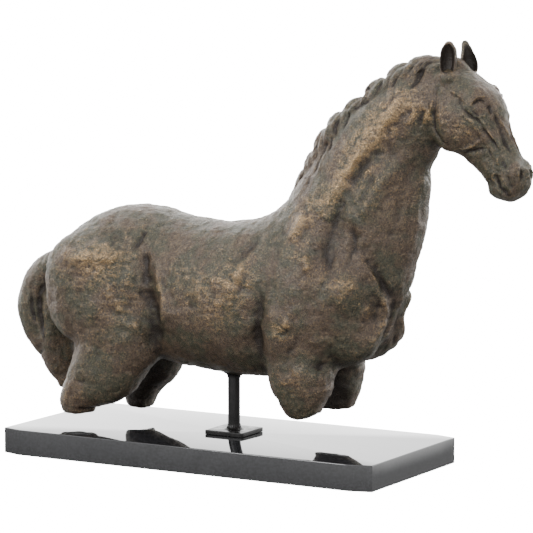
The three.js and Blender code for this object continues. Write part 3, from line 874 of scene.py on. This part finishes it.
class Shell:
    """A closed triangle mesh with per-point data, which planes can divide."""

    def __init__(self, points, triangles, data, cap=None):
        self.points, self.triangles, self.data = points, triangles, data
        self.cap = np.zeros(len(triangles), bool) if cap is None else cap

    def beyond(self, seam, sign=1):
        """The part beyond the plane (or before it, when sign is -1), closed with a flat cap."""
        at, normal = (np.array(v, float) for v in SEAM[seam])
        normal = sign * normal / np.linalg.norm(normal)
        height = (self.points - at) @ normal
        height[np.abs(height) < 1e-6] = 1e-6
        up = height > 0
        sides = up[self.triangles]
        inside = sides.sum(1)
        kept = self.triangles[inside == 3]
        kept_cap = self.cap[inside == 3]
        crossing = (inside == 1) | (inside == 2)
        tri, ins, cut_cap = self.triangles[crossing], inside[crossing], self.cap[crossing]
        # turn each cut triangle so that the corner that is alone on its side comes first
        side = up[tri]
        lone = np.where(ins == 1, np.argmax(side, 1), np.argmin(side, 1))
        rows = np.arange(len(tri))
        a, b, c = (tri[rows, (lone + k) % 3] for k in range(3))
        pairs = np.sort(np.concatenate([np.stack([a, b], 1), np.stack([a, c], 1)]), axis=1)
        keys = pairs[:, 0].astype(np.int64) * len(self.points) + pairs[:, 1]
        unique, first, place = np.unique(keys, return_index=True, return_inverse=True)
        ends = pairs[first]
        h0, h1 = height[ends[:, 0]], height[ends[:, 1]]
        t = (h0 / (h0 - h1))[:, None]
        count = len(self.points)
        new_points = self.points[ends[:, 0]] * (1 - t) + self.points[ends[:, 1]] * t
        new_data = self.data[ends[:, 0]] * (1 - t) + self.data[ends[:, 1]] * t
        ab, ac = count + place[: len(tri)], count + place[len(tri) :]
        one = ins == 1
        pieces = [kept, np.stack([a, ab, ac], 1)[one]]
        pieces += [np.stack([ab, b, c], 1)[~one], np.stack([ab, c, ac], 1)[~one]]
        caps = [kept_cap, cut_cap[one], cut_cap[~one], cut_cap[~one]]
        points = np.vstack([self.points, new_points])
        data = np.vstack([self.data, new_data])
        # each rim edge runs the opposite way to the kept triangle beside it
        rim = np.where(one[:, None], np.stack([ac, ab], 1), np.stack([ab, ac], 1))
        lid = flat_cap(points, rim)
        pieces.append(lid)
        caps.append(np.ones(len(lid), bool))
        triangles = np.concatenate(pieces)
        used, renumbered = np.unique(triangles, return_inverse=True)
        return Shell(points[used], renumbered.reshape(-1, 3), data[used], np.concatenate(caps))


def flat_cap(points, rim):
    """Triangles that close the loops of rim edges, wound the same way as the loops."""
    after = dict(zip(rim[:, 0].tolist(), rim[:, 1].tolist()))
    lids = [np.zeros((0, 3), int)]
    while after:
        start, at = after.popitem()
        loop = [start]
        while at != start and at in after:
            loop.append(at)
            at = after.pop(at)
        if len(loop) > 2:
            corners = np.array(tessellate_polygon([[Vector(points[i]) for i in loop]]), int)
            lids.append(np.array(loop)[np.sort(corners.reshape(-1, 3), axis=1)])
    return np.concatenate(lids)


# ---------------------------------------------------------------- wear of the patina, with painted highlight and painted shade
# where hands have rubbed the patina to gold, and where gold is painted on as highlight on lit forms: x, y,
# z, radius and strength, on both sides
RUBBED_AND_HIGHLIT = [
    [-155, -80, 228, 32, 0.42], [-112, -78, 232, 28, 0.55], [-98, -76, 182, 20, 0.45],
    [-122, -80, 140, 34, 0.25], [36, -76, 200, 34, 0.45], [-14, -76, 212, 28, 0.34],
    [60, -70, 234, 24, 0.4], [128, -52, 302, 20, 0.5], [125, -66, 270, 22, 0.42],
    [119, -79, 168, 13, 0.7], [180, -66, 228, 16, 0.35], [190, -60, 210, 18, 0.35],
    [150, -72, 232, 18, 0.35], [250, -31, 426, 22, 0.4], [226, -34, 410, 26, 0.46],
    [206, -37, 386, 28, 0.46], [188, -42, 360, 26, 0.4], [176, -47, 334, 24, 0.44],
    [158, -50, 308, 20, 0.4], [235, -33, 322, 26, 0.3], [270, -30, 410, 12, 0.6],
    [292, -35, 412, 13, 0.4], [320, -37, 392, 17, 0.45], [125, -70, 108, 22, 0.3],
    [-170, -62, 70, 22, 0.28], [212, -40, 192, 14, 0.4], [10, -70, 160, 30, 0.2],
    [-60, -66, 200, 14, 0.3],
]
# LIMB_TOP, LIMB_FADE and UNDERSIDE shape the painted shade on the limbs' inner faces and on the undersides
LIMB_TOP, LIMB_FADE = 125, 30  # height of the limbs' inner faces, and how softly they end there
UNDERSIDE = 0.2  # how far a face looks down before it counts as an underside
RUB_SPREAD = 1.8  # how far rubbing fades out, over a place's radius
BROAD = 6  # how much further round the broad relief looks than the fine one


def wear_and_painted_light_of(skin, reach):
    """How worn the patina is at each point, with painted highlight on raised forms, and how deep in a hollow
    or in painted shade the point lies, from 0 to 1.
    """
    fine, broad = skin.relief(reach), skin.relief(reach * BROAD)
    carved, raised = np.clip(-skin.worked, 0, 5), np.clip(skin.worked, 0, 2)
    low = np.clip((LIMB_TOP - skin.points[:, 2]) / LIMB_FADE, 0, 1)
    # painted shade: the inner faces of the limbs low down and the undersides are darkened, as shade falls on
    # them
    underside_shade = 0.9 * low * np.clip(-np.sign(skin.points[:, 1]) * skin.normals[:, 1], 0, 1)
    underside_shade += 0.6 * np.clip(-skin.normals[:, 2] - UNDERSIDE, 0, 1)
    # gold rubbed onto raised forms; the broad relief also paints highlight on the larger raised forms
    wear_and_highlight = np.clip(0.02 + 0.42 * fine + 0.13 * broad + 0.06 * raised, -0.2, 0.6)
    # darker patina in hollows, and painted shade: the hollows of the fine and broad relief and the carved
    # grooves are darkened as shade would darken them
    grime_and_shade = 0.6 * np.clip(-fine / 0.5, 0, 1) + 0.7 * np.clip(-broad / 2, 0, 1) + 0.17 * carved + underside_shade
    for x, y, z, radius, strength in RUBBED_AND_HIGHLIT:
        for side in (1, -1):
            d = np.linalg.norm(skin.points - np.array([x, side * y, z]), axis=1)
            wear_and_highlight += strength * bell(d / (RUB_SPREAD * radius))
    return np.clip(wear_and_highlight, 0, 1), np.clip(grime_and_shade, 0, 1)


def shell_of(skin, reach):
    wear_and_highlight, grime_and_shade = wear_and_painted_light_of(skin, reach)
    data = np.column_stack([point_normals(skin.points, skin.quads), wear_and_highlight, grime_and_shade])
    triangles = np.concatenate([skin.quads[:, [0, 1, 2]], skin.quads[:, [0, 2, 3]]])
    return Shell(skin.points, triangles, data)


# ---------------------------------------------------------------- from numbers to Blender
def to_metres(points):
    return np.asarray(points, float) * MM + ORIGIN


def link(name, mesh):
    obj = bpy.data.objects.new(name, mesh)
    bpy.context.scene.collection.objects.link(obj)
    return obj


def mesh_of(name, points, faces):
    """A smooth mesh from points in the sculpting frame."""
    mesh = bpy.data.meshes.new(name)
    mesh.from_pydata(to_metres(points).tolist(), [], faces)
    mesh.polygons.foreach_set("use_smooth", [True] * len(faces))
    mesh.update()
    return mesh


def shell_object(name, shell, material):
    mesh = mesh_of(name, shell.points, shell.triangles.tolist())
    for column, attribute in ((3, "wear_and_highlight"), (4, "grime_and_shade")):
        layer = mesh.attributes.new(attribute, "FLOAT", "POINT")
        layer.data.foreach_set("value", shell.data[:, column].astype(np.float32))
    # caps are shaded flat, and the skin keeps the directions it had before it was cut
    corner_normals = shell.data[shell.triangles, :3]
    a, b, c = (shell.points[shell.triangles[:, k]] for k in range(3))
    flat = np.cross(b - a, c - a)
    flat /= np.maximum(np.linalg.norm(flat, axis=1), 1e-12)[:, None]
    corner_normals[shell.cap] = flat[shell.cap][:, None]
    lengths = np.linalg.norm(corner_normals, axis=2, keepdims=True)
    corner_normals = corner_normals / np.maximum(lengths, 1e-9)
    mesh.normals_split_custom_set(corner_normals.reshape(-1, 3))
    mesh.materials.append(material)
    return link(name, mesh)


# ---------------------------------------------------------------- materials
class Look:
    """A node material that is built up one node at a time."""

    def __init__(self, name):
        self.material = bpy.data.materials.new(name)
        self.material.use_nodes = True
        self.tree = self.material.node_tree
        self.shader = self.tree.nodes["Principled BSDF"]
        self.place = self.add("ShaderNodeTexCoord").outputs["Object"]

    def add(self, kind, **settings):
        node = self.tree.nodes.new(kind)
        for key, value in settings.items():
            setattr(node, key, value)
        return node

    def plug(self, socket, value):
        if isinstance(value, bpy.types.NodeSocket):
            self.tree.links.new(value, socket)
        else:
            socket.default_value = value

    def fixed(self, **values):
        """Sets sockets of the shader that are the same all over."""
        for key, value in values.items():
            self.shader.inputs[key.replace("_", " ")].default_value = value

    def drive(self, **values):
        for key, value in values.items():
            self.plug(self.shader.inputs[key.replace("_", " ")], value)

    def attribute(self, name):
        return self.add("ShaderNodeAttribute", attribute_name=name).outputs["Fac"]

    def noise(self, size, detail=3.0, roughness=0.55, stretch=None):
        """Noise whose lumps are about size millimetres across."""
        place = self.place
        if stretch:
            mapping = self.add("ShaderNodeMapping")
            mapping.inputs["Scale"].default_value = stretch
            self.plug(mapping.inputs["Vector"], place)
            place = mapping.outputs["Vector"]
        node = self.add("ShaderNodeTexNoise")
        self.plug(node.inputs["Vector"], place)
        node.inputs["Scale"].default_value = 1 / (size * MM)
        node.inputs["Detail"].default_value = detail
        node.inputs["Roughness"].default_value = roughness
        return node.outputs["Fac"]

    def cells(self, size):
        """A random colour for each crystal about size millimetres across."""
        node = self.add("ShaderNodeTexVoronoi")
        self.plug(node.inputs["Vector"], self.place)
        node.inputs["Scale"].default_value = 1 / (size * MM)
        return node.outputs["Color"]

    def math(self, operation, *values):
        node = self.add("ShaderNodeMath", operation=operation)
        for socket, value in zip(node.inputs, values):
            self.plug(socket, value)
        return node.outputs[0]

    def fit(self, value, low, high, to_low=0.0, to_high=1.0):
        node = self.add("ShaderNodeMapRange", interpolation_type="SMOOTHSTEP")
        for socket, setting in zip(node.inputs, (value, low, high, to_low, to_high)):
            self.plug(socket, setting)
        return node.outputs[0]

    def blend(self, share, one, two):
        """Colour one where share is 0, colour two where it is 1."""
        node = self.add("ShaderNodeMix", data_type="RGBA")
        self.plug(node.inputs[0], share)
        self.plug(node.inputs[6], one)
        self.plug(node.inputs[7], two)
        return node.outputs[2]

    def bump(self, height, distance, strength, normal=None):
        node = self.add("ShaderNodeBump")
        node.inputs["Strength"].default_value = strength
        node.inputs["Distance"].default_value = distance * MM
        self.plug(node.inputs["Height"], height)
        if normal:
            self.plug(node.inputs["Normal"], normal)
        return node.outputs["Normal"]


# the patina's brown, olive, earth, soot, brass, dull gold, bright gold, and the dirt in hollows that also
# paints shade in hollows, on undersides and on the limbs' inner faces
BROWN, OLIVE, EARTH = (0.09, 0.062, 0.042, 1), (0.058, 0.058, 0.037, 1), (0.155, 0.115, 0.074, 1)
SOOT, BRASS, DIRT_AND_SHADE = (0.016, 0.013, 0.009, 1), (0.33, 0.24, 0.13, 1), (0.014, 0.008, 0.005, 1)
DULL_GOLD, BRIGHT_GOLD = (0.21, 0.13, 0.062, 1), (0.5, 0.35, 0.185, 1)


def bronze_look():
    look = Look("bronze")
    wear_and_highlight, grime_and_shade = look.attribute("wear_and_highlight"), look.attribute("grime_and_shade")
    zones, blotch = look.noise(40, 3, 0.6), look.noise(8, 4, 0.64)
    speckle, grit = look.noise(1.8, 5, 0.72), look.noise(0.9, 3, 0.6)
    streaks = look.noise(6, 5, 0.68, stretch=(0.5, 1, 1.25))
    patina = look.blend(look.fit(zones, 0.42, 0.58), BROWN, OLIVE)
    patina = look.blend(look.fit(blotch, 0.44, 0.7, 0, 0.7), patina, EARTH)
    patina = look.blend(look.fit(speckle, 0.5, 0.34, 0, 0.9), patina, SOOT)
    patina = look.blend(look.fit(speckle, 0.55, 0.7, 0, 0.6), patina, BRASS)
    rub_and_highlight = look.math("MULTIPLY_ADD", look.math("SUBTRACT", speckle, 0.5), 2.8, wear_and_highlight)
    rub_and_highlight = look.math("MULTIPLY_ADD", look.math("SUBTRACT", streaks, 0.5), 1.8, rub_and_highlight)
    rub_and_highlight = look.math("MULTIPLY_ADD", grime_and_shade, -0.8, rub_and_highlight)
    rub_and_highlight = look.fit(rub_and_highlight, 0.3, 1.15, 0, 0.95)
    gold = look.blend(look.fit(grit, 0.3, 0.7), DULL_GOLD, BRIGHT_GOLD)
    # gold where the patina is rubbed, which also stands for painted highlight on raised and lit forms
    colour = look.blend(rub_and_highlight, patina, gold)
    # painted shade: hollows, undersides and the limbs' inner faces turn near black, together with the dirt
    # in the hollows
    colour = look.blend(look.fit(grime_and_shade, 0.04, 0.9, 0, 0.9), colour, DIRT_AND_SHADE)
    look.drive(Base_Color=colour)
    look.drive(Metallic=look.fit(rub_and_highlight, 0, 1, 0.6, 0.9))
    look.drive(Roughness=look.fit(look.math("MULTIPLY_ADD", speckle, 1.2, rub_and_highlight), 0.3, 1.4, 0.48, 0.26))
    creases = look.math("ABSOLUTE", look.math("SUBTRACT", look.noise(5, 4, 0.6), 0.5))
    height = look.math("MULTIPLY_ADD", grit, 0.3, speckle)
    wrinkles = look.bump(creases, 8.0, 1.0, look.bump(streaks, 4.0, 1.0))
    rough = look.bump(height, 2.2, 1.0, wrinkles)
    look.drive(Normal=rough, Coat_Normal=look.bump(height, 0.45, 0.8, look.bump(creases, 1.6, 0.8)))
    look.fixed(Coat_Weight=0.3, Coat_Roughness=0.27, Coat_Tint=(1, 0.94, 0.84, 1))
    return look.material


def black_steel_look():
    look = Look("black steel")
    mottle, grit, scuffs = look.noise(9, 3), look.noise(0.8, 2), look.noise(2.5, 5, 0.7)
    paint = look.blend(look.fit(mottle, 0.35, 0.7), (0.006, 0.006, 0.006, 1), (0.013, 0.012, 0.012, 1))
    look.drive(Base_Color=look.blend(look.fit(scuffs, 0.66, 0.8, 0, 0.5), paint, (0.09, 0.06, 0.04, 1)))
    look.drive(Roughness=look.fit(mottle, 0.3, 0.7, 0.26, 0.38))
    look.drive(Normal=look.bump(grit, 0.08, 0.35, look.bump(mottle, 0.5, 0.4)))
    look.fixed(Metallic=0.0, IOR=1.4, Specular_IOR_Level=0.3)
    return look.material


def bright_steel_look():
    look = Look("bright steel")
    lines = look.noise(0.6, 3, stretch=(1, 1, 0.08))
    look.drive(Base_Color=look.blend(look.fit(lines, 0.3, 0.7), (0.5, 0.51, 0.53, 1), (0.68, 0.68, 0.7, 1)))
    look.drive(Roughness=look.fit(lines, 0.3, 0.7, 0.26, 0.4))
    look.drive(Normal=look.bump(lines, 0.05, 0.3))
    look.fixed(Metallic=1.0)
    return look.material


def granite_look():
    look = Look("granite")
    crystals, dust = look.cells(1.6), look.noise(0.9, 3)
    flecks = look.fit(dust, 0.64, 0.74, 0, 0.5)
    stone = look.blend(look.fit(crystals, 0.2, 0.8), (0.006, 0.006, 0.0065, 1), (0.016, 0.016, 0.018, 1))
    look.drive(Base_Color=look.blend(flecks, stone, (0.06, 0.062, 0.066, 1)))
    look.drive(Roughness=look.fit(look.noise(40, 2), 0.3, 0.7, 0.025, 0.05))
    look.fixed(IOR=1.62)
    return look.material


def felt_look():
    look = Look("felt")
    fuzz = look.noise(0.7, 5, 0.7)
    look.drive(Base_Color=look.blend(fuzz, (0.012, 0.012, 0.012, 1), (0.035, 0.035, 0.035, 1)))
    look.drive(Normal=look.bump(fuzz, 0.4, 0.8))
    look.fixed(Roughness=0.95, Sheen_Weight=0.4)
    return look.material


LOOKS = {
    "bronze": bronze_look(),
    "black_steel": black_steel_look(),
    "bright_steel": bright_steel_look(),
    "granite": granite_look(),
    "felt": felt_look(),
}


# ---------------------------------------------------------------- the bronze pieces
BODY_GRAIN = ((24, 0.9, 11), (12, 0.75, 12), (6.5, 0.6, 13), (4.2, 0.34, 14))
BODY_STEP, HEAD_STEP, MANE_STEP, EAR_STEP = 1.6, 0.9, 1.0, 0.8
BODY_BOX = ([-300, -92, 36], [345, 92, 500])
HEAD_BOX = ([236, -66, 300], [402, 56, 500])
MANE_BOX = ([60, -40, 260], [290, 40, 490])
BODY_REACH, HEAD_REACH, MANE_REACH, EAR_REACH = 4, 7, 7, 5  # how far round the fine relief looks
UNDERLAY, UNDERLAY_SOFT = 0.7, 3.0  # how far the locks' lining lies under them, and its softness
FINE_WANDER = 0.15  # strokes of the face and mane stray less
STRANDS = ((-13, -1.2), (-5, -1.8), (1, -1.0), (7, -3.2))  # each groove's place along a lock and depth


def add_piece(name, shell, *nodes):
    piece = shell_object(name, shell, LOOKS["bronze"])
    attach(piece, "root")
    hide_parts(*nodes)


def join_underlay(clay):
    """Fills the neck up to the mane, so that the locks grow out of it softly."""
    mane = clay.blank()
    join_mane(mane)
    clay.value = soft_min(clay.value, mane.value + UNDERLAY, UNDERLAY_SOFT)


def work_body(skin):
    skin.work(TRUNK_STROKES)
    for side in (1, -1):
        skin.work(TAIL_STROKES, sides=(side,))
    skin.refresh()
    skin.work(NECK_STROKES)
    skin.work(MANE_STROKES, wander=FINE_WANDER)
    skin.work(HEAD_STROKES, head=True, wander=FINE_WANDER)
    skin.grain(BODY_GRAIN)


def sculpt_body():
    clay = Clay(*BODY_BOX, BODY_STEP)
    join_trunk(clay)
    join_tail(clay)
    join_head(clay)
    join_underlay(clay)
    skin = Skin(*clay.skin())
    work_body(skin)
    return shell_of(skin, BODY_REACH)


def sculpt_head():
    clay = Clay(*HEAD_BOX, HEAD_STEP)
    clay.add(Sweep(NECK, power=2.1), 26)
    join_head(clay)
    join_underlay(clay)
    skin = Skin(*clay.skin())
    work_body(skin)
    return shell_of(skin, HEAD_REACH)


def comb(skin):
    """Strands that run along the locks of the mane."""
    for i in range(len(LOCKS)):
        for shift, height in STRANDS:
            line = np.array(lock_tail(i, -1, shift))[:, :3]
            skin.stroke(line, 2.2, height, wander=0.3)


def sculpt_mane():
    clay = Clay(*MANE_BOX, MANE_STEP)
    join_mane(clay)
    skin = Skin(*clay.skin())
    comb(skin)
    skin.work(MANE_STROKES, wander=FINE_WANDER)
    skin.grain(BODY_GRAIN)
    return shell_of(skin, MANE_REACH)


body = sculpt_body()
upper, trunk = body.beyond("neck"), body.beyond("neck", -1)
add_piece("head", sculpt_head().beyond("head"), "head_casting")
add_piece("neck", upper.beyond("head", -1), "neck_casting")
add_piece("tail", trunk.beyond("tail"), "tail_casting")
front = trunk.beyond("trunk")
rear = trunk.beyond("trunk", -1).beyond("tail", -1)
add_piece("front_trunk", front.beyond("fore_limb", -1), "front_trunk_casting")
add_piece("rear_trunk", rear.beyond("hind_limb", -1), "rear_trunk_casting")
for side, sign in (("right", 1), ("left", -1)):
    add_piece(f"fore_{side}", front.beyond("fore_limb").beyond("right", sign), f"fore_limb_{side}")
    add_piece(f"hind_{side}", rear.beyond("hind_limb").beyond("right", sign), f"hind_limb_{side}")
    add_piece(f"ear_piece_{side}", shell_of(ear_skin(-sign), EAR_REACH), f"ear_{side}")
add_piece("mane", sculpt_mane(), "mane_casting")


# ---------------------------------------------------------------- the mount and the slab
AROUND = 96  # points in every loop
FLAT_ANGLE = np.radians(30)  # edges sharper than this are shaded as edges
BORE, BORE_DEPTH = 4.3, 22  # the post's tapped foot (the plate's hole is as wide)
SPIGOT, BEVEL, FOOT_BEVEL = 5.0, 0.5, 0.4
SHOULDER_RISE = 1.9  # how far the post's shoulder lies above the upper bead
AXIS = 0.01  # the radius of a loop that stands for a disc's middle
WELD_GAP, WELD_LIP = 0.2, 0.3  # between a bead and the post, and the bead's thinnest edge
PLATE_CORNER, SLAB_CORNER, LEAST_CORNER = 1.6, 2.4, 0.3
PLATE_ARRIS, SLAB_ARRIS = (0.5, 0.9), (0.8, 1.1)  # how far the bottom and top edges are rounded
RAY_STEPS = 4000  # how finely the way out to a rectangle's edge is searched
SLAB_HOLE, COUNTERBORE, COUNTERBORE_DEPTH = 4.6, 13, 14


def bands(rows):
    """Quads between the rows of point numbers, where each row is a loop."""
    turned = np.roll(rows, -1, axis=1)
    return np.stack([rows[:-1], turned[:-1], turned[1:], rows[1:]], -1).reshape(-1, 4)


def stack(name, loops, slot, *nodes):
    """A closed piece from a stack of loops of points (the last loop joins the first one)."""
    loops = np.array(loops, float)
    rows = np.arange(len(loops) * AROUND).reshape(-1, AROUND)
    mesh = mesh_of(name, loops.reshape(-1, 3), bands(np.vstack([rows, rows[:1]])).tolist())
    tool = bmesh.new()
    tool.from_mesh(mesh)
    bmesh.ops.recalc_face_normals(tool, faces=tool.faces)
    for edge in tool.edges:
        edge.smooth = edge.calc_face_angle(0) < FLAT_ANGLE
    tool.to_mesh(mesh)
    tool.free()
    mesh.materials.append(LOOKS[slot])
    piece = link(name, mesh)
    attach(piece, "root")
    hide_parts(*nodes)


def circle(radius, z, x, ripple=None):
    turns = np.arange(AROUND) * 2 * np.pi / AROUND
    r = radius if ripple is None else radius + ripple(turns)
    return np.stack([x + r * np.cos(turns), r * np.sin(turns), np.full(AROUND, z)], 1)


def rounded_square(half_x, half_y, corner, z, x):
    """A rectangle with round corners, its points spread evenly by angle so loops of circles match it."""
    turns = np.arange(AROUND) * 2 * np.pi / AROUND
    way = np.stack([np.cos(turns), np.sin(turns)], 1)
    core = np.array([half_x - corner, half_y - corner])
    reach = np.linspace(0, np.hypot(half_x, half_y), RAY_STEPS)
    spots = way[:, None] * reach[None, :, None]
    outside = np.linalg.norm(np.maximum(np.abs(spots) - core, 0), axis=2) > corner
    edge = spots[np.arange(AROUND), np.argmax(outside, 1)]
    return np.column_stack([edge[:, 0] + x, edge[:, 1], np.full(AROUND, z)])


def arris_loops(half_x, half_y, corner, arris, z_edge, up, x):
    """Loops that round an edge off, in order up the piece; up is 1 at a top edge, -1 at a bottom one."""
    loops = []
    for turn in np.linspace(0, np.pi / 2, 5)[::up]:
        inset = arris * (1 - np.cos(turn))
        z = z_edge - up * arris * (1 - np.sin(turn))
        loops.append(rounded_square(half_x - inset, half_y - inset, max(corner - inset, LEAST_CORNER), z, x))
    return loops


def edge_of(name):
    """A CAD box's low and high corners in the sculpting frame."""
    return [(np.array(corner) - ORIGIN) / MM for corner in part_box(name)]


def weld_ripple(turns):
    """The overlapping scales of a hand-run weld."""
    return 0.35 * np.abs(np.sin(turns * 9)) + 0.2 * np.sin(turns * 3 + 1) - 0.3


def add_post(x, radius):
    low, high = edge_of("support_post")
    foot, top = low[2], high[2]
    shoulder = edge_of("upper_weld_bead")[1][2] + SHOULDER_RISE
    outline = [(BORE, foot), (radius - FOOT_BEVEL, foot), (radius, foot + FOOT_BEVEL), (radius, shoulder)]
    outline += [(SPIGOT, shoulder), (SPIGOT, top - BEVEL), (SPIGOT - BEVEL, top)]
    outline += [(AXIS, top), (AXIS, foot + BORE_DEPTH), (BORE, foot + BORE_DEPTH)]
    stack("post", [circle(r, z, x) for r, z in outline], "black_steel", "support_post")


def add_bead(name, node, x, radius, up):
    """A weld bead that is wide at the part below it (or above it, when up is -1) and hugs the post."""
    low, high = edge_of(node)
    wide, inner = (high[0] - low[0]) / 2, radius + WELD_GAP
    start, end = (low[2], high[2])[::up]
    loops = [circle(inner, start, x)]
    for turn in np.linspace(0, np.pi / 2, 7):
        out = wide - (wide - inner - WELD_LIP) * np.sin(turn)
        loops.append(circle(out, start + (end - start) * (1 - np.cos(turn)), x, ripple=weld_ripple))
    stack(name, [*loops, circle(inner, end, x)], "black_steel", node)


def add_plate(x):
    low, high = edge_of("mounting_plate")
    half = (high[0] - low[0]) / 2
    loops = arris_loops(half, half, PLATE_CORNER, PLATE_ARRIS[0], low[2], -1, x)
    loops += arris_loops(half, half, PLATE_CORNER, PLATE_ARRIS[1], high[2], 1, x)
    hole = [circle(BORE, low[2], x), circle(BORE, high[2], x)]
    stack("plate", [hole[0], *loops, hole[1]], "black_steel", "mounting_plate")


def add_slab(x):
    low, high = edge_of("granite_base")
    ceiling = low[2] + COUNTERBORE_DEPTH
    loops = arris_loops(high[0], high[1], SLAB_CORNER, SLAB_ARRIS[0], low[2], -1, 0)
    loops += arris_loops(high[0], high[1], SLAB_CORNER, SLAB_ARRIS[1], high[2], 1, 0)
    loops += [circle(SLAB_HOLE, high[2], x), circle(SLAB_HOLE, ceiling, x)]
    loops += [circle(COUNTERBORE, ceiling, x), circle(COUNTERBORE, low[2], x)]
    stack("slab", loops, "granite", "granite_base")


def add_mount():
    low, high = edge_of("support_post")
    x, radius = (low[0] + high[0]) / 2, (high[0] - low[0]) / 2
    add_post(x, radius)
    add_bead("bead_lower", "lower_weld_bead", x, radius, 1)
    add_bead("bead_upper", "upper_weld_bead", x, radius, -1)
    add_plate(x)
    add_slab(x)


add_mount()
# CAD solids that are kept, with their own materials
CAD_KEPT = ["belly_socket", "base_bolt", "base_washer", "lock_washer"]
for name in CAD_KEPT + [f"base_pad_{i}" for i in (1, 2, 3, 4)]:
    node = bpy.data.objects[name]
    slot = next(part["material_slot"] for part in frame["record"]["subparts"] if part["node"] == name)
    for i in range(len(node.data.materials)):
        node.data.materials[i] = LOOKS[slot]


# ---------------------------------------------------------------- stage, light and camera
# where the camera looks, its angles in radians, its distance in metres, its sensor and lens in mm
TARGET = to_metres([52.6, 0, 227.9])
AZIMUTH, ELEVATION, DISTANCE = np.radians(29.926), np.radians(6.88), 3.4548
SENSOR_WIDTH, LENS = 36, 202.917
TO_CAMERA = Vector((np.sin(AZIMUTH), -np.cos(AZIMUTH), np.tan(ELEVATION))).normalized()
LAMP_AIM = (0, 0, 0.25)
WHITE = 16.0  # how strongly the paper shines for the camera
WALL_LIGHT, CEILING_LIGHT, ROOM_LIGHT = 4.0, 2.45, 0.4
STAGE_RADIUS, FLOOR_Z = 14000, -2
DOME_SIDES, DOME_RINGS = 48, 12


def add_camera():
    data = bpy.data.cameras.new("camera")
    data.sensor_width = SENSOR_WIDTH
    data.lens = LENS
    data.clip_end = 50
    camera = bpy.data.objects.new("camera", data)
    bpy.context.scene.collection.objects.link(camera)
    camera.location = Vector(TARGET) + TO_CAMERA * DISTANCE
    camera.rotation_euler = TO_CAMERA.to_track_quat("Z", "Y").to_euler()
    bpy.context.scene.camera = camera


def add_area(name, at, size, power):
    """A rectangular lamp that is turned to the statue."""
    data = bpy.data.lights.new(name, "AREA")
    data.energy = power
    data.shape = "RECTANGLE"
    data.size, data.size_y = size
    lamp = bpy.data.objects.new(name, data)
    bpy.context.scene.collection.objects.link(lamp)
    lamp.location = at
    lamp.rotation_euler = (Vector(at) - Vector(LAMP_AIM)).to_track_quat("Z", "Y").to_euler()


def backdrop_piece(name, points, faces):
    """A white part of the stage that only the camera sees, so it doesn't light the statue."""
    piece = link(name, mesh_of(name, points, faces))
    paper = Look(name)
    paper.fixed(Base_Color=(0.9, 0.9, 0.9, 1), Roughness=0.9)
    paper.fixed(Emission_Color=(1, 1, 1, 1), Emission_Strength=WHITE)
    piece.data.materials.append(paper.material)
    piece.visible_diffuse = False
    piece.visible_glossy = False
    piece.visible_shadow = False


def add_stage():
    """A white paper floor under a white studio dome."""
    turns = np.arange(DOME_SIDES) * 2 * np.pi / DOME_SIDES
    ring = np.stack([np.cos(turns), np.sin(turns)], 1) * STAGE_RADIUS
    backdrop_piece("floor", [[x, y, FLOOR_Z] for x, y in ring], [list(range(DOME_SIDES))])
    rise = np.arange(DOME_RINGS) * np.pi / 2 / DOME_RINGS
    points = []
    for a in rise:
        points += [[x * np.cos(a), y * np.cos(a), FLOOR_Z + STAGE_RADIUS * np.sin(a)] for x, y in ring]
    top = len(points)
    points.append([0, 0, FLOOR_Z + STAGE_RADIUS])
    rows = np.arange(top).reshape(DOME_RINGS, DOME_SIDES)
    last = rows[-1].tolist()
    crown = [[a, b, top] for a, b in zip(last, last[1:] + last[:1])]
    backdrop_piece("dome", points, bands(rows).tolist() + crown)


def add_sky():
    """Soft light all round: a white wall behind, a bright ceiling and a dimmer room in front."""
    world = bpy.data.worlds.new("world")
    bpy.context.scene.world = world
    world.use_nodes = True
    nodes, links = world.node_tree.nodes, world.node_tree.links
    way = nodes.new("ShaderNodeTexCoord").outputs["Generated"]

    def towards(direction, low, high, to_low, to_high):
        facing = nodes.new("ShaderNodeVectorMath")
        facing.operation = "DOT_PRODUCT"
        facing.inputs[1].default_value = Vector(direction).normalized()
        links.new(way, facing.inputs[0])
        fit = nodes.new("ShaderNodeMapRange")
        fit.interpolation_type = "SMOOTHSTEP"
        for socket, value in zip(list(fit.inputs)[1:5], (low, high, to_low, to_high)):
            socket.default_value = value
        links.new(facing.outputs["Value"], fit.inputs[0])
        return fit.outputs[0]

    def combine(operation, a, b):
        node = nodes.new("ShaderNodeMath")
        node.operation = operation
        links.new(a, node.inputs[0])
        links.new(b, node.inputs[1])
        return node.outputs[0]

    wall = towards((-0.5, 0.87, 0.0), 0.2, 0.75, 0, WALL_LIGHT)
    wall = combine("MULTIPLY", wall, towards((0, 0, 1), -0.2, 0.0, 0.05, 1))
    wall = combine("MULTIPLY", wall, towards((0, 0, 1), 0.25, 0.6, 1, 0.3))
    room = towards((0.2, -0.3, 1), -0.7, 1, ROOM_LIGHT, CEILING_LIGHT)
    links.new(combine("ADD", wall, room), nodes["Background"].inputs[1])
    nodes["Background"].inputs[0].default_value = (1, 1, 1, 1)


add_camera()
add_stage()
add_sky()
add_area("key", (-1.1, -2.6, 1.3), (1.0, 0.9), 60)
